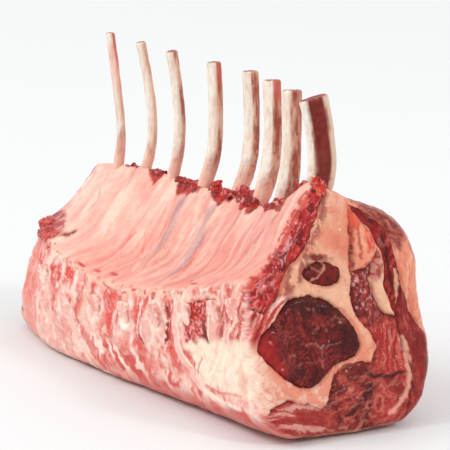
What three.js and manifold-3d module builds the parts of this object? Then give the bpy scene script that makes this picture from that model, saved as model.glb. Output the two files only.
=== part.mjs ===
// Raw rack of lamb: eight frenched rib bones standing out of one uncut piece of meat.
// Millimetres, +Z up. +X runs from the far (loin) end to the near (shoulder) end, -Y is the
// sawn chine side with the inside of the ribs above it, and +Y is the fat cap.
// The meat is a set of layers that run from end to end. Their outlines are drawn once, on the
// near cut face, and a warp carries each outline along the length.
import * as THREE from "three";
import { mergeVertices } from "three/addons/utils/BufferGeometryUtils.js";
import Module from "manifold-3d";

// ---------------------------------------------------------------- driving dimensions (mm)
const ORIGIN_SHIFT = { x: -11.8, y: 22 }; // puts the middle of the underside at the origin
const LAYER_GAP = 0.5; // clearance between neighbouring layers on the near face
const BONE_GAP = 0.35; // clearance round each bone
const OUTLINE_STEP = 9; // spacing of the outline points
const LENGTH_STEPS = 11; // even steps from end to end
const END_STEPS = [0, 0.012]; // closer rings where the ends are rounded

const RIB_COUNT = 8;
const RIB_PITCH = 27;
const FIRST_RIB_X = -90;
const RIB_LEAN = 0.1; // the bones lean back by this much for each mm of height
const SLANT_BEND = 1.3; // the slant of the ribs gathers towards the chine
const RIB_SIDES = 8;
const RIB_RINGS = 14;
const RIB_IN_WALL = { width: 8, thickness: 4.4 };
const RIB_DEPTH = 0.7; // 0 at the inside face of the wall, 1 at its back
const STRIP_TURN = 0.16; // the share of the seam behind the wall at which it turns upwards
const RIB_STOPS = { inWall: [0.3, 0.6, 0.8], middle: 0.55, waist: 0.92 };
const SAWN_END = { width: 9.5, thickness: 11.5, reach: 0.3 }; // where a rib was sawn off
const SAWN_NECK = { width: 9.5, thickness: 7.5, inwards: 5, rise: 0.25 };
const SAWN_LEVEL = 44; // the height on the near face that the sawn ends are carried from
const BEYOND_SAW = 6; // how far the room of a rib runs on past its sawn end
const RIDGE = { height: 1.1, slant: 10, y: -0.55, z: 0.83, endFade: 6 }; // the wall swells over each rib

const NEAR_FACE = { x: 141, turn: 0.1, lean: -0.28 };
const FAR_FACE = { x: -120, turn: 0, lean: 0.04 };
const FACE_MIDDLE = { y: -22, halfWidth: 47 };
const END_ROUNDING = { share: 0.045, chine: 1.5, cap: 4.5, top: 1.5 };
const END_LIFT = { near: 0.11, nearSides: 7, far: 0.06, farSides: 2.5, middle: 1.5, height: 30 };
const CREST_BEND = 1.5; // the shift of the crest gathers towards the top

// The bones from the far end to the near end: width along the rack, thickness across it, the
// places of the base, the middle and the tip across the rack and in height, the share of the
// free length from which the bone stands straight, how far the rib moves towards the near end
// on its way down to the shelf and then to its sawn end, and the depth of that end.
const BONES = {
  width: [5.4, 5.6, 6.6, 8, 8.6, 9.4, 9, 7.2],
  thickness: [4.2, 4.4, 5.2, 6.6, 7.2, 8.4, 9.4, 15.4],
  baseY: [-4.1, -3.8, -5.9, -3.8, -1.5, -8.3, -13.6, -12.6],
  baseZ: [88, 88, 88, 88, 88, 90, 94, 108],
  middleY: [-4.6, -1.1, -1.1, 2.7, 5.9, -0.4, -9, -11.8],
  tipY: [-7.3, -5.3, -4.1, 3.5, 6.6, 0.6, -7.2, -15.1],
  tipZ: [155.9, 154.2, 152.9, 150.1, 148.8, 148.5, 148.1, 149.2],
  riseFrom: [0.16, 0.16, 0.16, 0.16, 0.16, 0.16, 0.12, 0.02],
  slant: [10, 10, 10, 10, 10, 10, 9, 6],
  sawnShift: [8, 8, 8, 8, 8, 8, 8, 2],
  sawnBelowShelf: [14, 19, 11, 11, 11.5, 11.5, 12, 12],
};

// Sizes that change along the rack, at even steps from the far end to the near end.
const ALONG = {
  chineY: [-53.5, -65.5, -67, -66.5, -66.5, -69.5],
  shelfInward: [16, 3.5, 2.5, 2.5, 1.5, 0],
  shelfZ: [57, 52.5, 45.5, 50.3, 61.2, 72.6],
  footInward: [2, 0.5, 1, 4, 8, 12],
  crestY: [-4, -7, -9, -10, -19.5, -24],
  crestZ: [84, 90, 90, 90, 94.5, 114.5],
  capY: [20, 23.5, 25, 25.5, 26, 26],
  capZ: [70, 74, 76, 77, 81, 90],
};
const FOOT_HEIGHT = 16; // the height up to which the lower chine edge is drawn in
const NEAR = Object.fromEntries(Object.entries(ALONG).map(([k, v]) => [k, v[v.length - 1]]));

// The seams of the near cut face, as [y, z]. The first group is the outside of the meat.
const SEAMS = {
  pleura: [[-67, 72.6], [-52, 82], [-38, 99.5], [-24, 114.5]],
  stripTop: [[-24, 114.5], [-20.3, 111.6]],
  columnTop: [[-20.3, 111.6], [-14.8, 109.5], [-8.5, 105.8]],
  capOutside: [[-8.5, 105.8], [10.5, 98.3], [21.5, 88.5], [26, 74.5], [24.3, 57], [26, 38]],
  lowerOutside: [[26, 38], [24.2, 25], [16, 8.5], [4, 0]],
  underside: [[4, 0], [-30, 0], [-64.5, 0], [-69, 12]],
  chineLow: [[-69, 12], [-69.5, 40], [-68.8, 62]],
  chineHigh: [[-68.8, 62], [-67, 72.6]],
  stripInside: [[-68.8, 62], [-60.5, 59.3], [-52.5, 66], [-45.5, 76.5], [-36, 83.5], [-24.6, 101],
    [-20.3, 111.6]],
  columnHigh: [[-8.5, 105.8], [-9, 103]],
  columnFlap: [[-9, 103], [-9.6, 95], [-10.8, 84], [-12.3, 72.5]],
  columnLow: [[-12.3, 72.5], [-14.3, 56], [-6, 40.5], [-8.3, 30.2]],
  rimLow: [[-8.3, 30.2], [-16.3, 32.6], [-28, 28], [-37, 14.5], [-46, 17], [-58, 19], [-69, 12]],
  outerFatInside: [[-9, 103], [3, 96.5], [11.5, 87.5], [14, 75], [14.6, 63.6]],
  outerFatLow: [[14.6, 63.6], [19, 49], [26, 38]],
  flapRight: [[-9, 103], [-3, 95], [0.8, 91], [4, 82]],
  flapTip: [[4, 82], [-1, 75.3]],
  flapUnder: [[-1, 75.3], [-6.1, 72.2], [-12.3, 72.5]],
  fatStripRight: [[4, 82], [6, 74], [4.4, 66], [6.2, 56.5], [8.5, 50]],
  fatStripLeft: [[-1, 75.3], [-3.2, 65.5], [-2.2, 58], [2.2, 51.5], [8.5, 50]],
  capLeanLow: [[8.5, 50], [14.6, 63.6]],
  backSeam: [[8.5, 50], [9.6, 38.3], [12.8, 26.8], [10.5, 15], [4, 0]],
};
const OUTSIDE_SEAMS = ["pleura", "stripTop", "columnTop", "capOutside", "lowerOutside", "underside",
  "chineLow", "chineHigh"];

const FINISH = {
  bone: { color: 0xe9d3bf, roughness: 0.5 },
  wall: { color: 0xe8b5a6, roughness: 0.35 },
  fat: { color: 0xf2d6c4, roughness: 0.45 },
  lean: { color: 0x9e2a33, roughness: 0.35 },
  darkLean: { color: 0x5f1420, roughness: 0.35 },
};

// Each layer is a loop of seams; a minus sign turns a seam round.
const LAYERS = {
  rib_wall: { finish: FINISH.wall, seams: ["chineHigh", "pleura", "stripTop", "-stripInside"] },
  fat_bed: {
    finish: FINISH.fat,
    seams: ["stripInside", "columnTop", "columnHigh", "columnFlap", "columnLow", "rimLow", "chineLow"],
  },
  outer_fat: {
    finish: FINISH.fat,
    seams: ["capOutside", "-outerFatLow", "-outerFatInside", "-columnHigh"],
  },
  cap_lean: {
    finish: FINISH.darkLean,
    seams: ["outerFatInside", "-capLeanLow", "-fatStripRight", "-flapRight"],
  },
  cap_flap: { finish: FINISH.fat, seams: ["flapRight", "flapTip", "flapUnder", "-columnFlap"] },
  fat_strip: { finish: FINISH.fat, seams: ["fatStripRight", "-fatStripLeft", "-flapTip"] },
  outer_lean: {
    finish: FINISH.lean,
    seams: ["outerFatLow", "lowerOutside", "-backSeam", "capLeanLow"],
  },
  back_muscle: {
    finish: FINISH.lean,
    seams: ["fatStripLeft", "backSeam", "underside", "-rimLow", "-columnLow", "-flapUnder"],
  },
};

// The two muscles that lie in the fat bed. Behind the near face the eye narrows and shifts.
const EYE = {
  points: 22,
  outline: [[-44, 63.6], [-28.4, 61.2], [-15.7, 48.2], [-13.8, 39.5], [-19.4, 34.4], [-30.5, 30.4],
    [-38.2, 25], [-46, 23.4], [-57.6, 31.5], [-65.6, 40], [-65.8, 47], [-57, 53.6], [-51.2, 59.6]],
};
const EYE_NARROWING = { y: -40, z: 43, share: 0.8, shift: 5, drop: 1, from: 0.8 };
const COMPANION = {
  points: 12,
  outline: [[-37.6, 74], [-30.3, 78], [-21, 76.2], [-18.2, 73], [-20.8, 67.8], [-28, 66.9], [-35.6, 69.8]],
};

// ---------------------------------------------------------------- numbers
const mix = (a, b, t) => a + (b - a) * t;
const flatPoint = (p) => new THREE.Vector2(p.y, p.z);
const curveThrough = (points) => new THREE.SplineCurve(points.map(([y, z]) => new THREE.Vector2(y, z)));

// A smooth value through the knots of one ALONG row.
function along(row, s) {
  const t = THREE.MathUtils.clamp(s, 0, 1) * (row.length - 1);
  const i = Math.min(Math.floor(t), row.length - 2);
  const at = (k) => row[THREE.MathUtils.clamp(k, 0, row.length - 1)];
  const slope = (k) => (at(k + 1) - at(k - 1)) / 2;
  const f = t - i;
  const f2 = f * f;
  const f3 = f2 * f;
  return (2 * f3 - 3 * f2 + 1) * at(i) + (f3 - 2 * f2 + f) * slope(i) +
    (3 * f2 - 2 * f3) * at(i + 1) + (f3 - f2) * slope(i + 1);
}

// ---------------------------------------------------------------- form of the meat
// A point [y, z] of the near face carried to the share s of the length.
function warp(y, z, s) {
  const chine = along(ALONG.chineY, s);
  const cap = along(ALONG.capY, s);
  const across = (y - NEAR.chineY) / (NEAR.capY - NEAR.chineY);
  const crestAcross = (NEAR.crestY - NEAR.chineY) / (NEAR.capY - NEAR.chineY);
  const toCrest = across < crestAcross ? across / crestAcross : (1 - across) / (1 - crestAcross);
  const high = Math.max(0, z) / NEAR.crestZ;
  const crestMove = along(ALONG.crestY, s) - mix(chine, cap, crestAcross);
  const inward = along(ALONG.shelfInward, s) * Math.max(0, 1 - across / crestAcross);
  const outY = mix(chine, cap, across) + crestMove * toCrest * high ** CREST_BEND +
    inward * (z / NEAR.shelfZ) ** 2;
  const shelfShare = along(ALONG.shelfZ, s) / NEAR.shelfZ;
  const crestShare = along(ALONG.crestZ, s) / NEAR.crestZ;
  const capShare = along(ALONG.capZ, s) / NEAR.capZ;
  const share = across < crestAcross
    ? mix(shelfShare, crestShare, across / crestAcross)
    : mix(crestShare, capShare, (across - crestAcross) / (1 - crestAcross));
  const foot = along(ALONG.footInward, s) * Math.max(0, 1 - across / crestAcross) *
    Math.max(0, 1 - z / FOOT_HEIGHT) ** 2;
  return [outY + foot, z * share];
}

// 0 along the length and 1 at either end, like a quarter circle over the given share.
function nearEnd(s, share) {
  const left = Math.min(s, 1 - s) / share;
  return left >= 1 ? 0 : 1 - Math.sqrt(1 - (1 - Math.max(0, left)) ** 2);
}

// The same point in space: the two cut faces lean, and the meat is rounded towards them.
function place(y, z, s) {
  const [py, pz] = warp(y, z, s);
  const end = nearEnd(s, END_ROUNDING.share);
  const side = (py - FACE_MIDDLE.y) / FACE_MIDDLE.halfWidth;
  const low = Math.max(0, 1 - pz / END_LIFT.height) ** 2;
  const isNear = s > 0.5;
  const sides = (isNear ? END_LIFT.nearSides : END_LIFT.farSides) * side * side;
  const lift = nearEnd(s, isNear ? END_LIFT.near : END_LIFT.far) * low * (END_LIFT.middle + sides);
  const drawnIn = side < 0 ? END_ROUNDING.chine : END_ROUNDING.cap;
  const outY = py - drawnIn * end * side ** 3;
  const outZ = pz + lift - END_ROUNDING.top * end * (z / NEAR.crestZ) ** 4;
  const faceX = (face) => face.x + face.turn * (py - FACE_MIDDLE.y) + face.lean * pz;
  return new THREE.Vector3(mix(faceX(FAR_FACE), faceX(NEAR_FACE), s), outY, outZ);
}

// The share of the length at which a point of the near face reaches a given x.
function shareAt(y, z, x) {
  let low = -0.2;
  let high = 1.2;
  for (let i = 0; i < 24; i++) {
    const s = (low + high) / 2;
    if (place(y, z, s).x < x) low = s;
    else high = s;
  }
  return (low + high) / 2;
}

// ---------------------------------------------------------------- outlines on the near face
function seamPoints(name) {
  const curve = curveThrough(SEAMS[name]);
  const steps = Math.max(2, Math.round(curve.getLength() / OUTLINE_STEP));
  return curve.getSpacedPoints(steps).map((p, i) => ({
    y: p.x,
    z: Math.max(0, p.y),
    inside: !OUTSIDE_SEAMS.includes(name),
    down: name === "pleura" && i > 0 && i < steps ? 1 - i / steps : null,
  }));
}

function loopOf(seams) {
  return seams.flatMap((entry) => {
    const points = seamPoints(entry.replace("-", ""));
    if (entry.startsWith("-")) points.reverse();
    return points.slice(0, -1);
  });
}

const isClockwise = (loop) => THREE.ShapeUtils.isClockWise(loop.map(flatPoint));
const turned = (loop, clockwise) => isClockwise(loop) === clockwise ? loop : [...loop].reverse();

// Moves each point off its inside edges by half the gap; edges on the outside don't move.
function inset(loop, distance) {
  const turn = isClockwise(loop) ? -1 : 1;
  return loop.map((p, i) => {
    const before = loop[(i + loop.length - 1) % loop.length];
    const after = loop[(i + 1) % loop.length];
    const move = new THREE.Vector2();
    for (const [a, b, inside] of [[before, p, before.inside], [p, after, p.inside]]) {
      if (!inside) continue;
      const normal = new THREE.Vector2(-(b.z - a.z), b.y - a.y).normalize().multiplyScalar(turn);
      move.add(normal);
    }
    if (move.lengthSq() > 1) move.normalize().multiplyScalar(1.1);
    return { ...p, y: p.y + move.x * distance, z: Math.max(0, p.z + move.y * distance) };
  });
}

// A muscle's closed outline; grow makes it larger all round.
function muscleLoop(muscle, grow) {
  const knots = muscle.outline.map(([y, z]) => new THREE.Vector3(y, z, 0));
  const curve = new THREE.CatmullRomCurve3(knots, true, "centripetal");
  return Array.from({ length: muscle.points }, (_, i) => {
    const at = curve.getPointAt(i / muscle.points);
    const along = curve.getTangentAt(i / muscle.points);
    const p = { y: at.x - along.y * grow, z: at.y + along.x * grow, inside: true, down: null };
    return muscle === EYE ? { ...p, narrows: true } : p;
  });
}

// ---------------------------------------------------------------- solids
// How far the rib wall swells at x: most over a rib, least half way between two.
function ridge(x, down) {
  const phase = (x - FIRST_RIB_X - RIDGE.slant * down ** SLANT_BEND) / RIB_PITCH;
  return RIDGE.height * Math.cos(2 * Math.PI * phase) * Math.sqrt(Math.sin(Math.PI * down));
}

function ringPoint(p, s) {
  if (p.narrows) {
    const t = 1 - THREE.MathUtils.smoothstep(s, EYE_NARROWING.from, 1);
    const inwards = (1 - EYE_NARROWING.share) * t;
    const y = mix(p.y, EYE_NARROWING.y, inwards) + EYE_NARROWING.shift * t;
    const z = mix(p.z, EYE_NARROWING.z, inwards) - EYE_NARROWING.drop * t;
    return place(y, z, s);
  }
  const at = place(p.y, p.z, s);
  if (p.down !== null) {
    const lift = ridge(at.x, p.down) * Math.min(1, RIDGE.endFade * s * (1 - s));
    at.y += lift * RIDGE.y;
    at.z += lift * RIDGE.z;
  }
  return at;
}

// The shares of the length at which the rings lie.
const SHARES = [
  ...END_STEPS,
  ...Array.from({ length: LENGTH_STEPS - 1 }, (_, k) => (k + 1) / LENGTH_STEPS),
  ...END_STEPS.map((s) => 1 - s).reverse(),
];

// A closed solid through the given outline, with tunnels for the holes. When fine is set,
// a ring is added half way between two others, whose inside points lie straight between them.
function loft(outline, holes = [], fine = false) {
  const loops = [turned(outline, false), ...holes.map((hole) => turned(hole, true))];
  const points = loops.flat();
  let rings = SHARES.map((s) => points.map((p) => ringPoint(p, s)));
  if (fine) {
    rings = rings.flatMap((ring, k) => {
      if (k + 1 === SHARES.length) return [ring];
      const half = points.map((p, i) => p.down === null
        ? ring[i].clone().lerp(rings[k + 1][i], 0.5)
        : ringPoint(p, (SHARES[k] + SHARES[k + 1]) / 2));
      return [ring, half];
    });
  }
  const positions = rings.flat();
  const faces = [];
  const count = points.length;
  let start = 0;
  for (const loop of loops) {
    for (let k = 0; k + 1 < rings.length; k++) {
      for (let i = 0; i < loop.length; i++) {
        const a = k * count + start + i;
        const b = k * count + start + ((i + 1) % loop.length);
        const c = b + count;
        const d = a + count;
        const acrossAC = positions[a].distanceTo(positions[c]);
        const acrossBD = positions[b].distanceTo(positions[d]);
        if (acrossAC < acrossBD) faces.push([a, b, c], [a, c, d]);
        else faces.push([a, b, d], [b, c, d]);
      }
    }
    start += loop.length;
  }
  // the triangulation drops a point that lies exactly between its neighbours, so none does
  const offLine = (i) => 1e-4 * Math.sin(7 * i);
  const flat = loops.map((loop) => loop.map((p, i) =>
    new THREE.Vector2(p.y + offLine(i), p.z + offLine(i + 1))));
  const cap = THREE.ShapeUtils.triangulateShape(flat[0], flat.slice(1));
  const last = (rings.length - 1) * count;
  for (const [a, b, c] of cap) {
    faces.push([a, c, b], [last + a, last + b, last + c]);
  }
  return solidOf(positions, faces);
}

// A bone: rings of an oval along a path, closed with a flat face at each end.
function sweep(path, grow) {
  const positions = [];
  const faces = [];
  path.forEach((ring) => {
    const wide = new THREE.Vector3(1, 0, 0).addScaledVector(ring.tangent, -ring.tangent.x).normalize();
    const thick = new THREE.Vector3().crossVectors(ring.tangent, wide);
    for (let i = 0; i < RIB_SIDES; i++) {
      const a = (i / RIB_SIDES) * Math.PI * 2;
      positions.push(ring.at.clone()
        .addScaledVector(wide, (ring.width / 2 + grow) * Math.cos(a))
        .addScaledVector(thick, (ring.thickness / 2 + grow) * Math.sin(a)));
    }
  });
  for (let j = 0; j + 1 < path.length; j++) {
    for (let i = 0; i < RIB_SIDES; i++) {
      const a = j * RIB_SIDES + i;
      const b = j * RIB_SIDES + ((i + 1) % RIB_SIDES);
      faces.push([a, b, b + RIB_SIDES], [a, b + RIB_SIDES, a + RIB_SIDES]);
    }
  }
  const last = (path.length - 1) * RIB_SIDES;
  for (let i = 1; i + 1 < RIB_SIDES; i++) {
    faces.push([0, i + 1, i], [last, last + i, last + i + 1]);
  }
  return solidOf(positions, faces);
}

// ---------------------------------------------------------------- manifold-3d
const wasm = await Module();
wasm.setup();

function solidOf(positions, faces) {
  return new wasm.Manifold(new wasm.Mesh({
    numProp: 3,
    vertProperties: new Float32Array(positions.flatMap((p) => [p.x, p.y, p.z])),
    triVerts: new Uint32Array(faces.flat()),
  }));
}

function meshOf(name, solid, finish) {
  const { vertProperties, triVerts } = solid.getMesh();
  const geometry = new THREE.BufferGeometry();
  geometry.setAttribute("position", new THREE.BufferAttribute(new Float32Array(vertProperties), 3));
  geometry.setIndex(new THREE.BufferAttribute(new Uint32Array(triVerts), 1));
  const merged = mergeVertices(geometry, 1e-3);
  merged.computeVertexNormals();
  const mesh = new THREE.Mesh(merged, new THREE.MeshStandardMaterial({ ...finish, metalness: 0 }));
  mesh.name = name;
  return mesh;
}

// ---------------------------------------------------------------- bones
// The middle of the rib wall on the near face: 1 at its top edge, 0 at the shelf.
function wallMiddle(up) {
  const inside = curveThrough(SEAMS.pleura).getPointAt(up);
  const back = curveThrough(SEAMS.stripInside).getPointAt(mix(STRIP_TURN, 1, up));
  return [mix(inside.x, back.x, RIB_DEPTH), mix(inside.y, back.y, RIB_DEPTH)];
}

function bonePath(i) {
  const baseX = FIRST_RIB_X + i * RIB_PITCH;
  const size = (name) => BONES[name][i];
  const inWall = (up) => {
    const [y, z] = wallMiddle(up);
    const x = baseX + size("slant") * (1 - up) ** SLANT_BEND;
    return place(y, z, shareAt(y, z, x));
  };
  const sawnX = baseX + size("slant") + size("sawnShift");
  const onChine = (z) => place(NEAR.chineY, z, shareAt(NEAR.chineY, z, sawnX));
  const sawn = onChine(SAWN_LEVEL);
  sawn.z = onChine(NEAR.shelfZ).z - size("sawnBelowShelf");
  const behindSaw = (d) => sawn.clone().add(new THREE.Vector3(0, d, SAWN_NECK.rise * d));
  const above = (share) => {
    const z = mix(size("baseZ"), size("tipZ"), share);
    const bow = size("middleY") - mix(size("baseY"), size("tipY"), 0.5);
    const y = mix(size("baseY"), size("tipY"), share) + bow * 4 * share * (1 - share);
    return new THREE.Vector3(baseX - RIB_LEAN * (z - size("baseZ")), y, z);
  };
  const free = { width: size("width"), thickness: size("thickness") };
  const stops = [
    { at: behindSaw(-SAWN_END.reach), ...SAWN_END },
    { at: behindSaw(SAWN_NECK.inwards), ...SAWN_NECK },
    ...RIB_STOPS.inWall.map((up) => ({ at: inWall(up), ...RIB_IN_WALL })),
    { at: above(size("riseFrom")), ...free },
    { at: above(RIB_STOPS.middle), ...free, thickness: free.thickness * RIB_STOPS.waist },
    { at: above(1), ...free },
  ];
  const curve = new THREE.CatmullRomCurve3(stops.map((stop) => stop.at), false, "centripetal");
  return Array.from({ length: RIB_RINGS + 1 }, (_, j) => {
    const t = curve.getUtoTmapping(j / RIB_RINGS) * (stops.length - 1);
    const k = Math.min(Math.floor(t), stops.length - 2);
    return {
      at: curve.getPointAt(j / RIB_RINGS),
      tangent: curve.getTangentAt(j / RIB_RINGS),
      width: mix(stops[k].width, stops[k + 1].width, t - k),
      thickness: mix(stops[k].thickness, stops[k + 1].thickness, t - k),
    };
  });
}

// The room that a bone takes in the meat: grown by the gap and run on past its sawn end.
function boneRoom(path) {
  const beyond = path[0].at.clone().addScaledVector(path[0].tangent, -BEYOND_SAW);
  return sweep([{ ...path[0], at: beyond }, ...path], BONE_GAP);
}

// ---------------------------------------------------------------- the rack
const rack = new THREE.Group();
const paths = Array.from({ length: RIB_COUNT }, (_, i) => bonePath(i));
const rooms = paths.map(boneRoom);

paths.forEach((path, i) => rack.add(meshOf(`rib_bone_${i + 1}`, sweep(path, 0), FINISH.bone)));

const halfGap = LAYER_GAP / 2;
for (const [name, { seams, finish }] of Object.entries(LAYERS)) {
  const tunnels = name === "fat_bed" ? [EYE, COMPANION].map((m) => muscleLoop(m, halfGap)) : [];
  let solid = loft(inset(loopOf(seams), halfGap), tunnels, name === "rib_wall");
  for (const room of rooms) solid = solid.subtract(room);
  rack.add(meshOf(name, solid, finish));
}
rack.add(meshOf("loin_eye", loft(muscleLoop(EYE, -halfGap)), FINISH.darkLean));
rack.add(meshOf("eye_companion", loft(muscleLoop(COMPANION, -halfGap)), FINISH.darkLean));

rack.position.set(ORIGIN_SHIFT.x, ORIGIN_SHIFT.y, 0);
export default rack;
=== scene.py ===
"""A raw rack of lamb over its frame: each layer of the cut as a dense, uneven solid with painted
masks and procedural materials, eight bare ribs, trimmings along the crest, and a plain stage.

The form is drawn in millimetres on the near cut face, as (y, z) outlines, and is carried along
the rack by a share of its length: 0 at the far cut, 1 at the near cut."""

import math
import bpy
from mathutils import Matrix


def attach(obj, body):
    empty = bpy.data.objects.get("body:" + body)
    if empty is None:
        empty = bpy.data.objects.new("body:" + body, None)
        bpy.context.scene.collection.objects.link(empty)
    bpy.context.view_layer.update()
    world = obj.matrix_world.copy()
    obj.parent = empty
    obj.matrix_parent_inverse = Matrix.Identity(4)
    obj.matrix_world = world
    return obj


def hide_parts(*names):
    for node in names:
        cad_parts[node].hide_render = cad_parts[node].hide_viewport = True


bl_info = {
    "name": "Rack of Lamb",
    "version": (1, 0, 0),
    "blender": (4, 5, 0),
    "location": "View3D > Sidebar > Rack",
    "description": "Builds a raw frenched rack of lamb with its layers, bones and stage",
    "category": "Object",
}

import bmesh
import bpy
import numpy as np
from mathutils import Vector
from mathutils.geometry import delaunay_2d_cdt

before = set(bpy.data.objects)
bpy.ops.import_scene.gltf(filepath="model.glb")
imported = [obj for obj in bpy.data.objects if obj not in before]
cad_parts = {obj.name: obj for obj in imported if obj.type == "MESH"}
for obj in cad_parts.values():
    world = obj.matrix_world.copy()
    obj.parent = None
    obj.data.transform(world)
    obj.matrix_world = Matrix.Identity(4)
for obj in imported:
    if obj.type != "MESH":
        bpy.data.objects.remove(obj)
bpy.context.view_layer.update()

MM = 0.001
ORIGIN_SHIFT = np.array([-11.8, 22.0, 0.0])

# ------------------------------------------------------------------ the form, in millimetres
RIB_COUNT = 8
RIB_PITCH = 27
FIRST_RIB_X = -90
RIB_LEAN = 0.1
SLANT_BEND = 1.3
RIB_SLIDE = {"reach": 16, "power": 0.8}
RIDGE = {"height": 1.1, "skew": 0.35, "skew_turn": 0.9, "y": -0.55, "z": 0.83, "end_fade": 6}

NEAR_FACE = {"x": 141, "turn": 0.1, "lean": -0.28}
FAR_FACE = {"x": -120, "turn": 0, "lean": 0.04}
FACE_MIDDLE = {"y": -22, "half_width": 47}
END_ROUNDING = {"share": 0.045, "chine": 1.5, "cap": 4.5, "top": 1.5}
END_LIFT = {"near": 0.11, "near_sides": 7, "far": 0.06, "far_sides": 2.5, "middle": 1.5, "height": 30}
CREST_BEND = 1.5
FOOT_HEIGHT = 16

ALONG = {
    "chine_y": [-53.5, -65.5, -67, -66.5, -66.5, -69.5],
    "shelf_inward": [16, 3.5, 2.5, 2.5, 1.5, 0],
    "shelf_z": [57, 52.5, 45.5, 50.3, 61.2, 72.6],
    "foot_inward": [2, 0.5, 1, 4, 8, 12],
    "crest_y": [-4, -7, -9, -10, -19.5, -24],
    "crest_z": [84, 90, 90, 90, 94.5, 114.5],
    "cap_y": [20, 23.5, 25, 25.5, 26, 26],
    "cap_z": [70, 74, 76, 77, 81, 90],
}
NEAR = {row: values[-1] for row, values in ALONG.items()}

SEAMS = {
    "pleura": [[-67, 72.6], [-52, 82], [-38, 99.5], [-24, 114.5]],
    "strip_top": [[-24, 114.5], [-20.3, 111.6]],
    "column_top": [[-20.3, 111.6], [-14.8, 109.5], [-8.5, 105.8]],
    "cap_outside": [[-8.5, 105.8], [10.5, 98.3], [21.5, 88.5], [26, 74.5], [24.3, 57], [26, 38]],
    "lower_outside": [[26, 38], [24.2, 25], [16, 8.5], [4, 0]],
    "underside": [[4, 0], [-30, 0], [-64.5, 0], [-69, 12]],
    "chine_low": [[-69, 12], [-69.5, 40], [-68.8, 62]],
    "chine_high": [[-68.8, 62], [-67, 72.6]],
    "strip_inside": [
        [-68.8, 62], [-60.5, 59.3], [-52.5, 66], [-45.5, 76.5], [-36, 83.5], [-24.6, 101],
        [-20.3, 111.6],
    ],
    "column_high": [[-8.5, 105.8], [-9, 103]],
    "column_flap": [[-9, 103], [-9.6, 95], [-10.8, 84], [-12.3, 72.5]],
    "column_low": [[-12.3, 72.5], [-14.3, 56], [-6, 40.5], [-8.3, 30.2]],
    "rim_low": [
        [-8.3, 30.2], [-16.3, 32.6], [-28, 28], [-37, 14.5], [-46, 17], [-58, 19], [-69, 12],
    ],
    "outer_fat_inside": [[-9, 103], [3, 96.5], [11.5, 87.5], [14, 75], [14.6, 63.6]],
    "outer_fat_low": [[14.6, 63.6], [19, 49], [26, 38]],
    "flap_right": [[-9, 103], [-3, 95], [0.8, 91], [4, 82]],
    "flap_tip": [[4, 82], [-1, 75.3]],
    "flap_under": [[-1, 75.3], [-6.1, 72.2], [-12.3, 72.5]],
    "fat_strip_right": [[4, 82], [6, 74], [4.4, 66], [6.2, 56.5], [8.5, 50]],
    "fat_strip_left": [[-1, 75.3], [-3.2, 65.5], [-2.2, 58], [2.2, 51.5], [8.5, 50]],
    "cap_lean_low": [[8.5, 50], [14.6, 63.6]],
    "back_seam": [[8.5, 50], [9.6, 38.3], [12.8, 26.8], [10.5, 15], [4, 0]],
}
# outside seams in their order round the rack: spacing of points and rounding at the cut faces
OUTSIDE = {
    "pleura": (0.75, 1.6),
    "strip_top": (0.7, 2.0),
    "column_top": (0.8, 3.0),
    "cap_outside": (0.95, 5.0),
    "lower_outside": (1.0, 6.0),
    "underside": (1.7, 6.0),
    "chine_low": (0.75, 6.5),
    "chine_high": (0.75, 3.0),
}
INSIDE_STEP = 1.0
# how far the corners of the outline are eased, high up and near the ground, and its normals and
# its rounding radii
LOOP_EASING = {
    "high": 1.1, "low": 2.5, "low_below": 45, "low_at": 4, "normals": 1.6, "radii": 5.0,
}
# inside borders drawn by hand: size and amount of their wander, which fades at the outside
WOBBLE = {"size": 7, "amount": 0.7, "fine_size": 2.6, "fine_amount": 0.55, "fade": 5}
LAYERS = {
    "rib_wall": ["chine_high", "pleura", "strip_top", "-strip_inside"],
    "fat_bed": [
        "strip_inside", "column_top", "column_high", "column_flap", "column_low", "rim_low",
        "chine_low",
    ],
    "outer_fat": ["cap_outside", "-outer_fat_low", "-outer_fat_inside", "-column_high"],
    "cap_lean": ["outer_fat_inside", "-cap_lean_low", "-fat_strip_right", "-flap_right"],
    "cap_flap": ["flap_right", "flap_tip", "flap_under", "-column_flap"],
    "fat_strip": ["fat_strip_right", "-fat_strip_left", "-flap_tip"],
    "outer_lean": ["outer_fat_low", "lower_outside", "-back_seam", "cap_lean_low"],
    "back_muscle": [
        "fat_strip_left", "back_seam", "underside", "-rim_low", "-column_low", "-flap_under",
    ],
}
EYE = [
    [-44, 63.6], [-28.4, 61.2], [-15.7, 48.2], [-13.8, 39.5], [-19.4, 34.4], [-30.5, 30.4],
    [-38.2, 25], [-46, 23.4], [-57.6, 31.5], [-65.6, 40], [-65.8, 47], [-57, 53.6],
    [-51.2, 59.6],
]
EYE_NARROWING = {"y": -40, "z": 43, "share": 0.8, "shift": 5, "drop": 1, "from": 0.8}
COMPANION = [
    [-37.6, 74], [-30.3, 78], [-21, 76.2], [-18.2, 73], [-20.8, 67.8], [-28, 66.9],
    [-35.6, 69.8],
]

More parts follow.
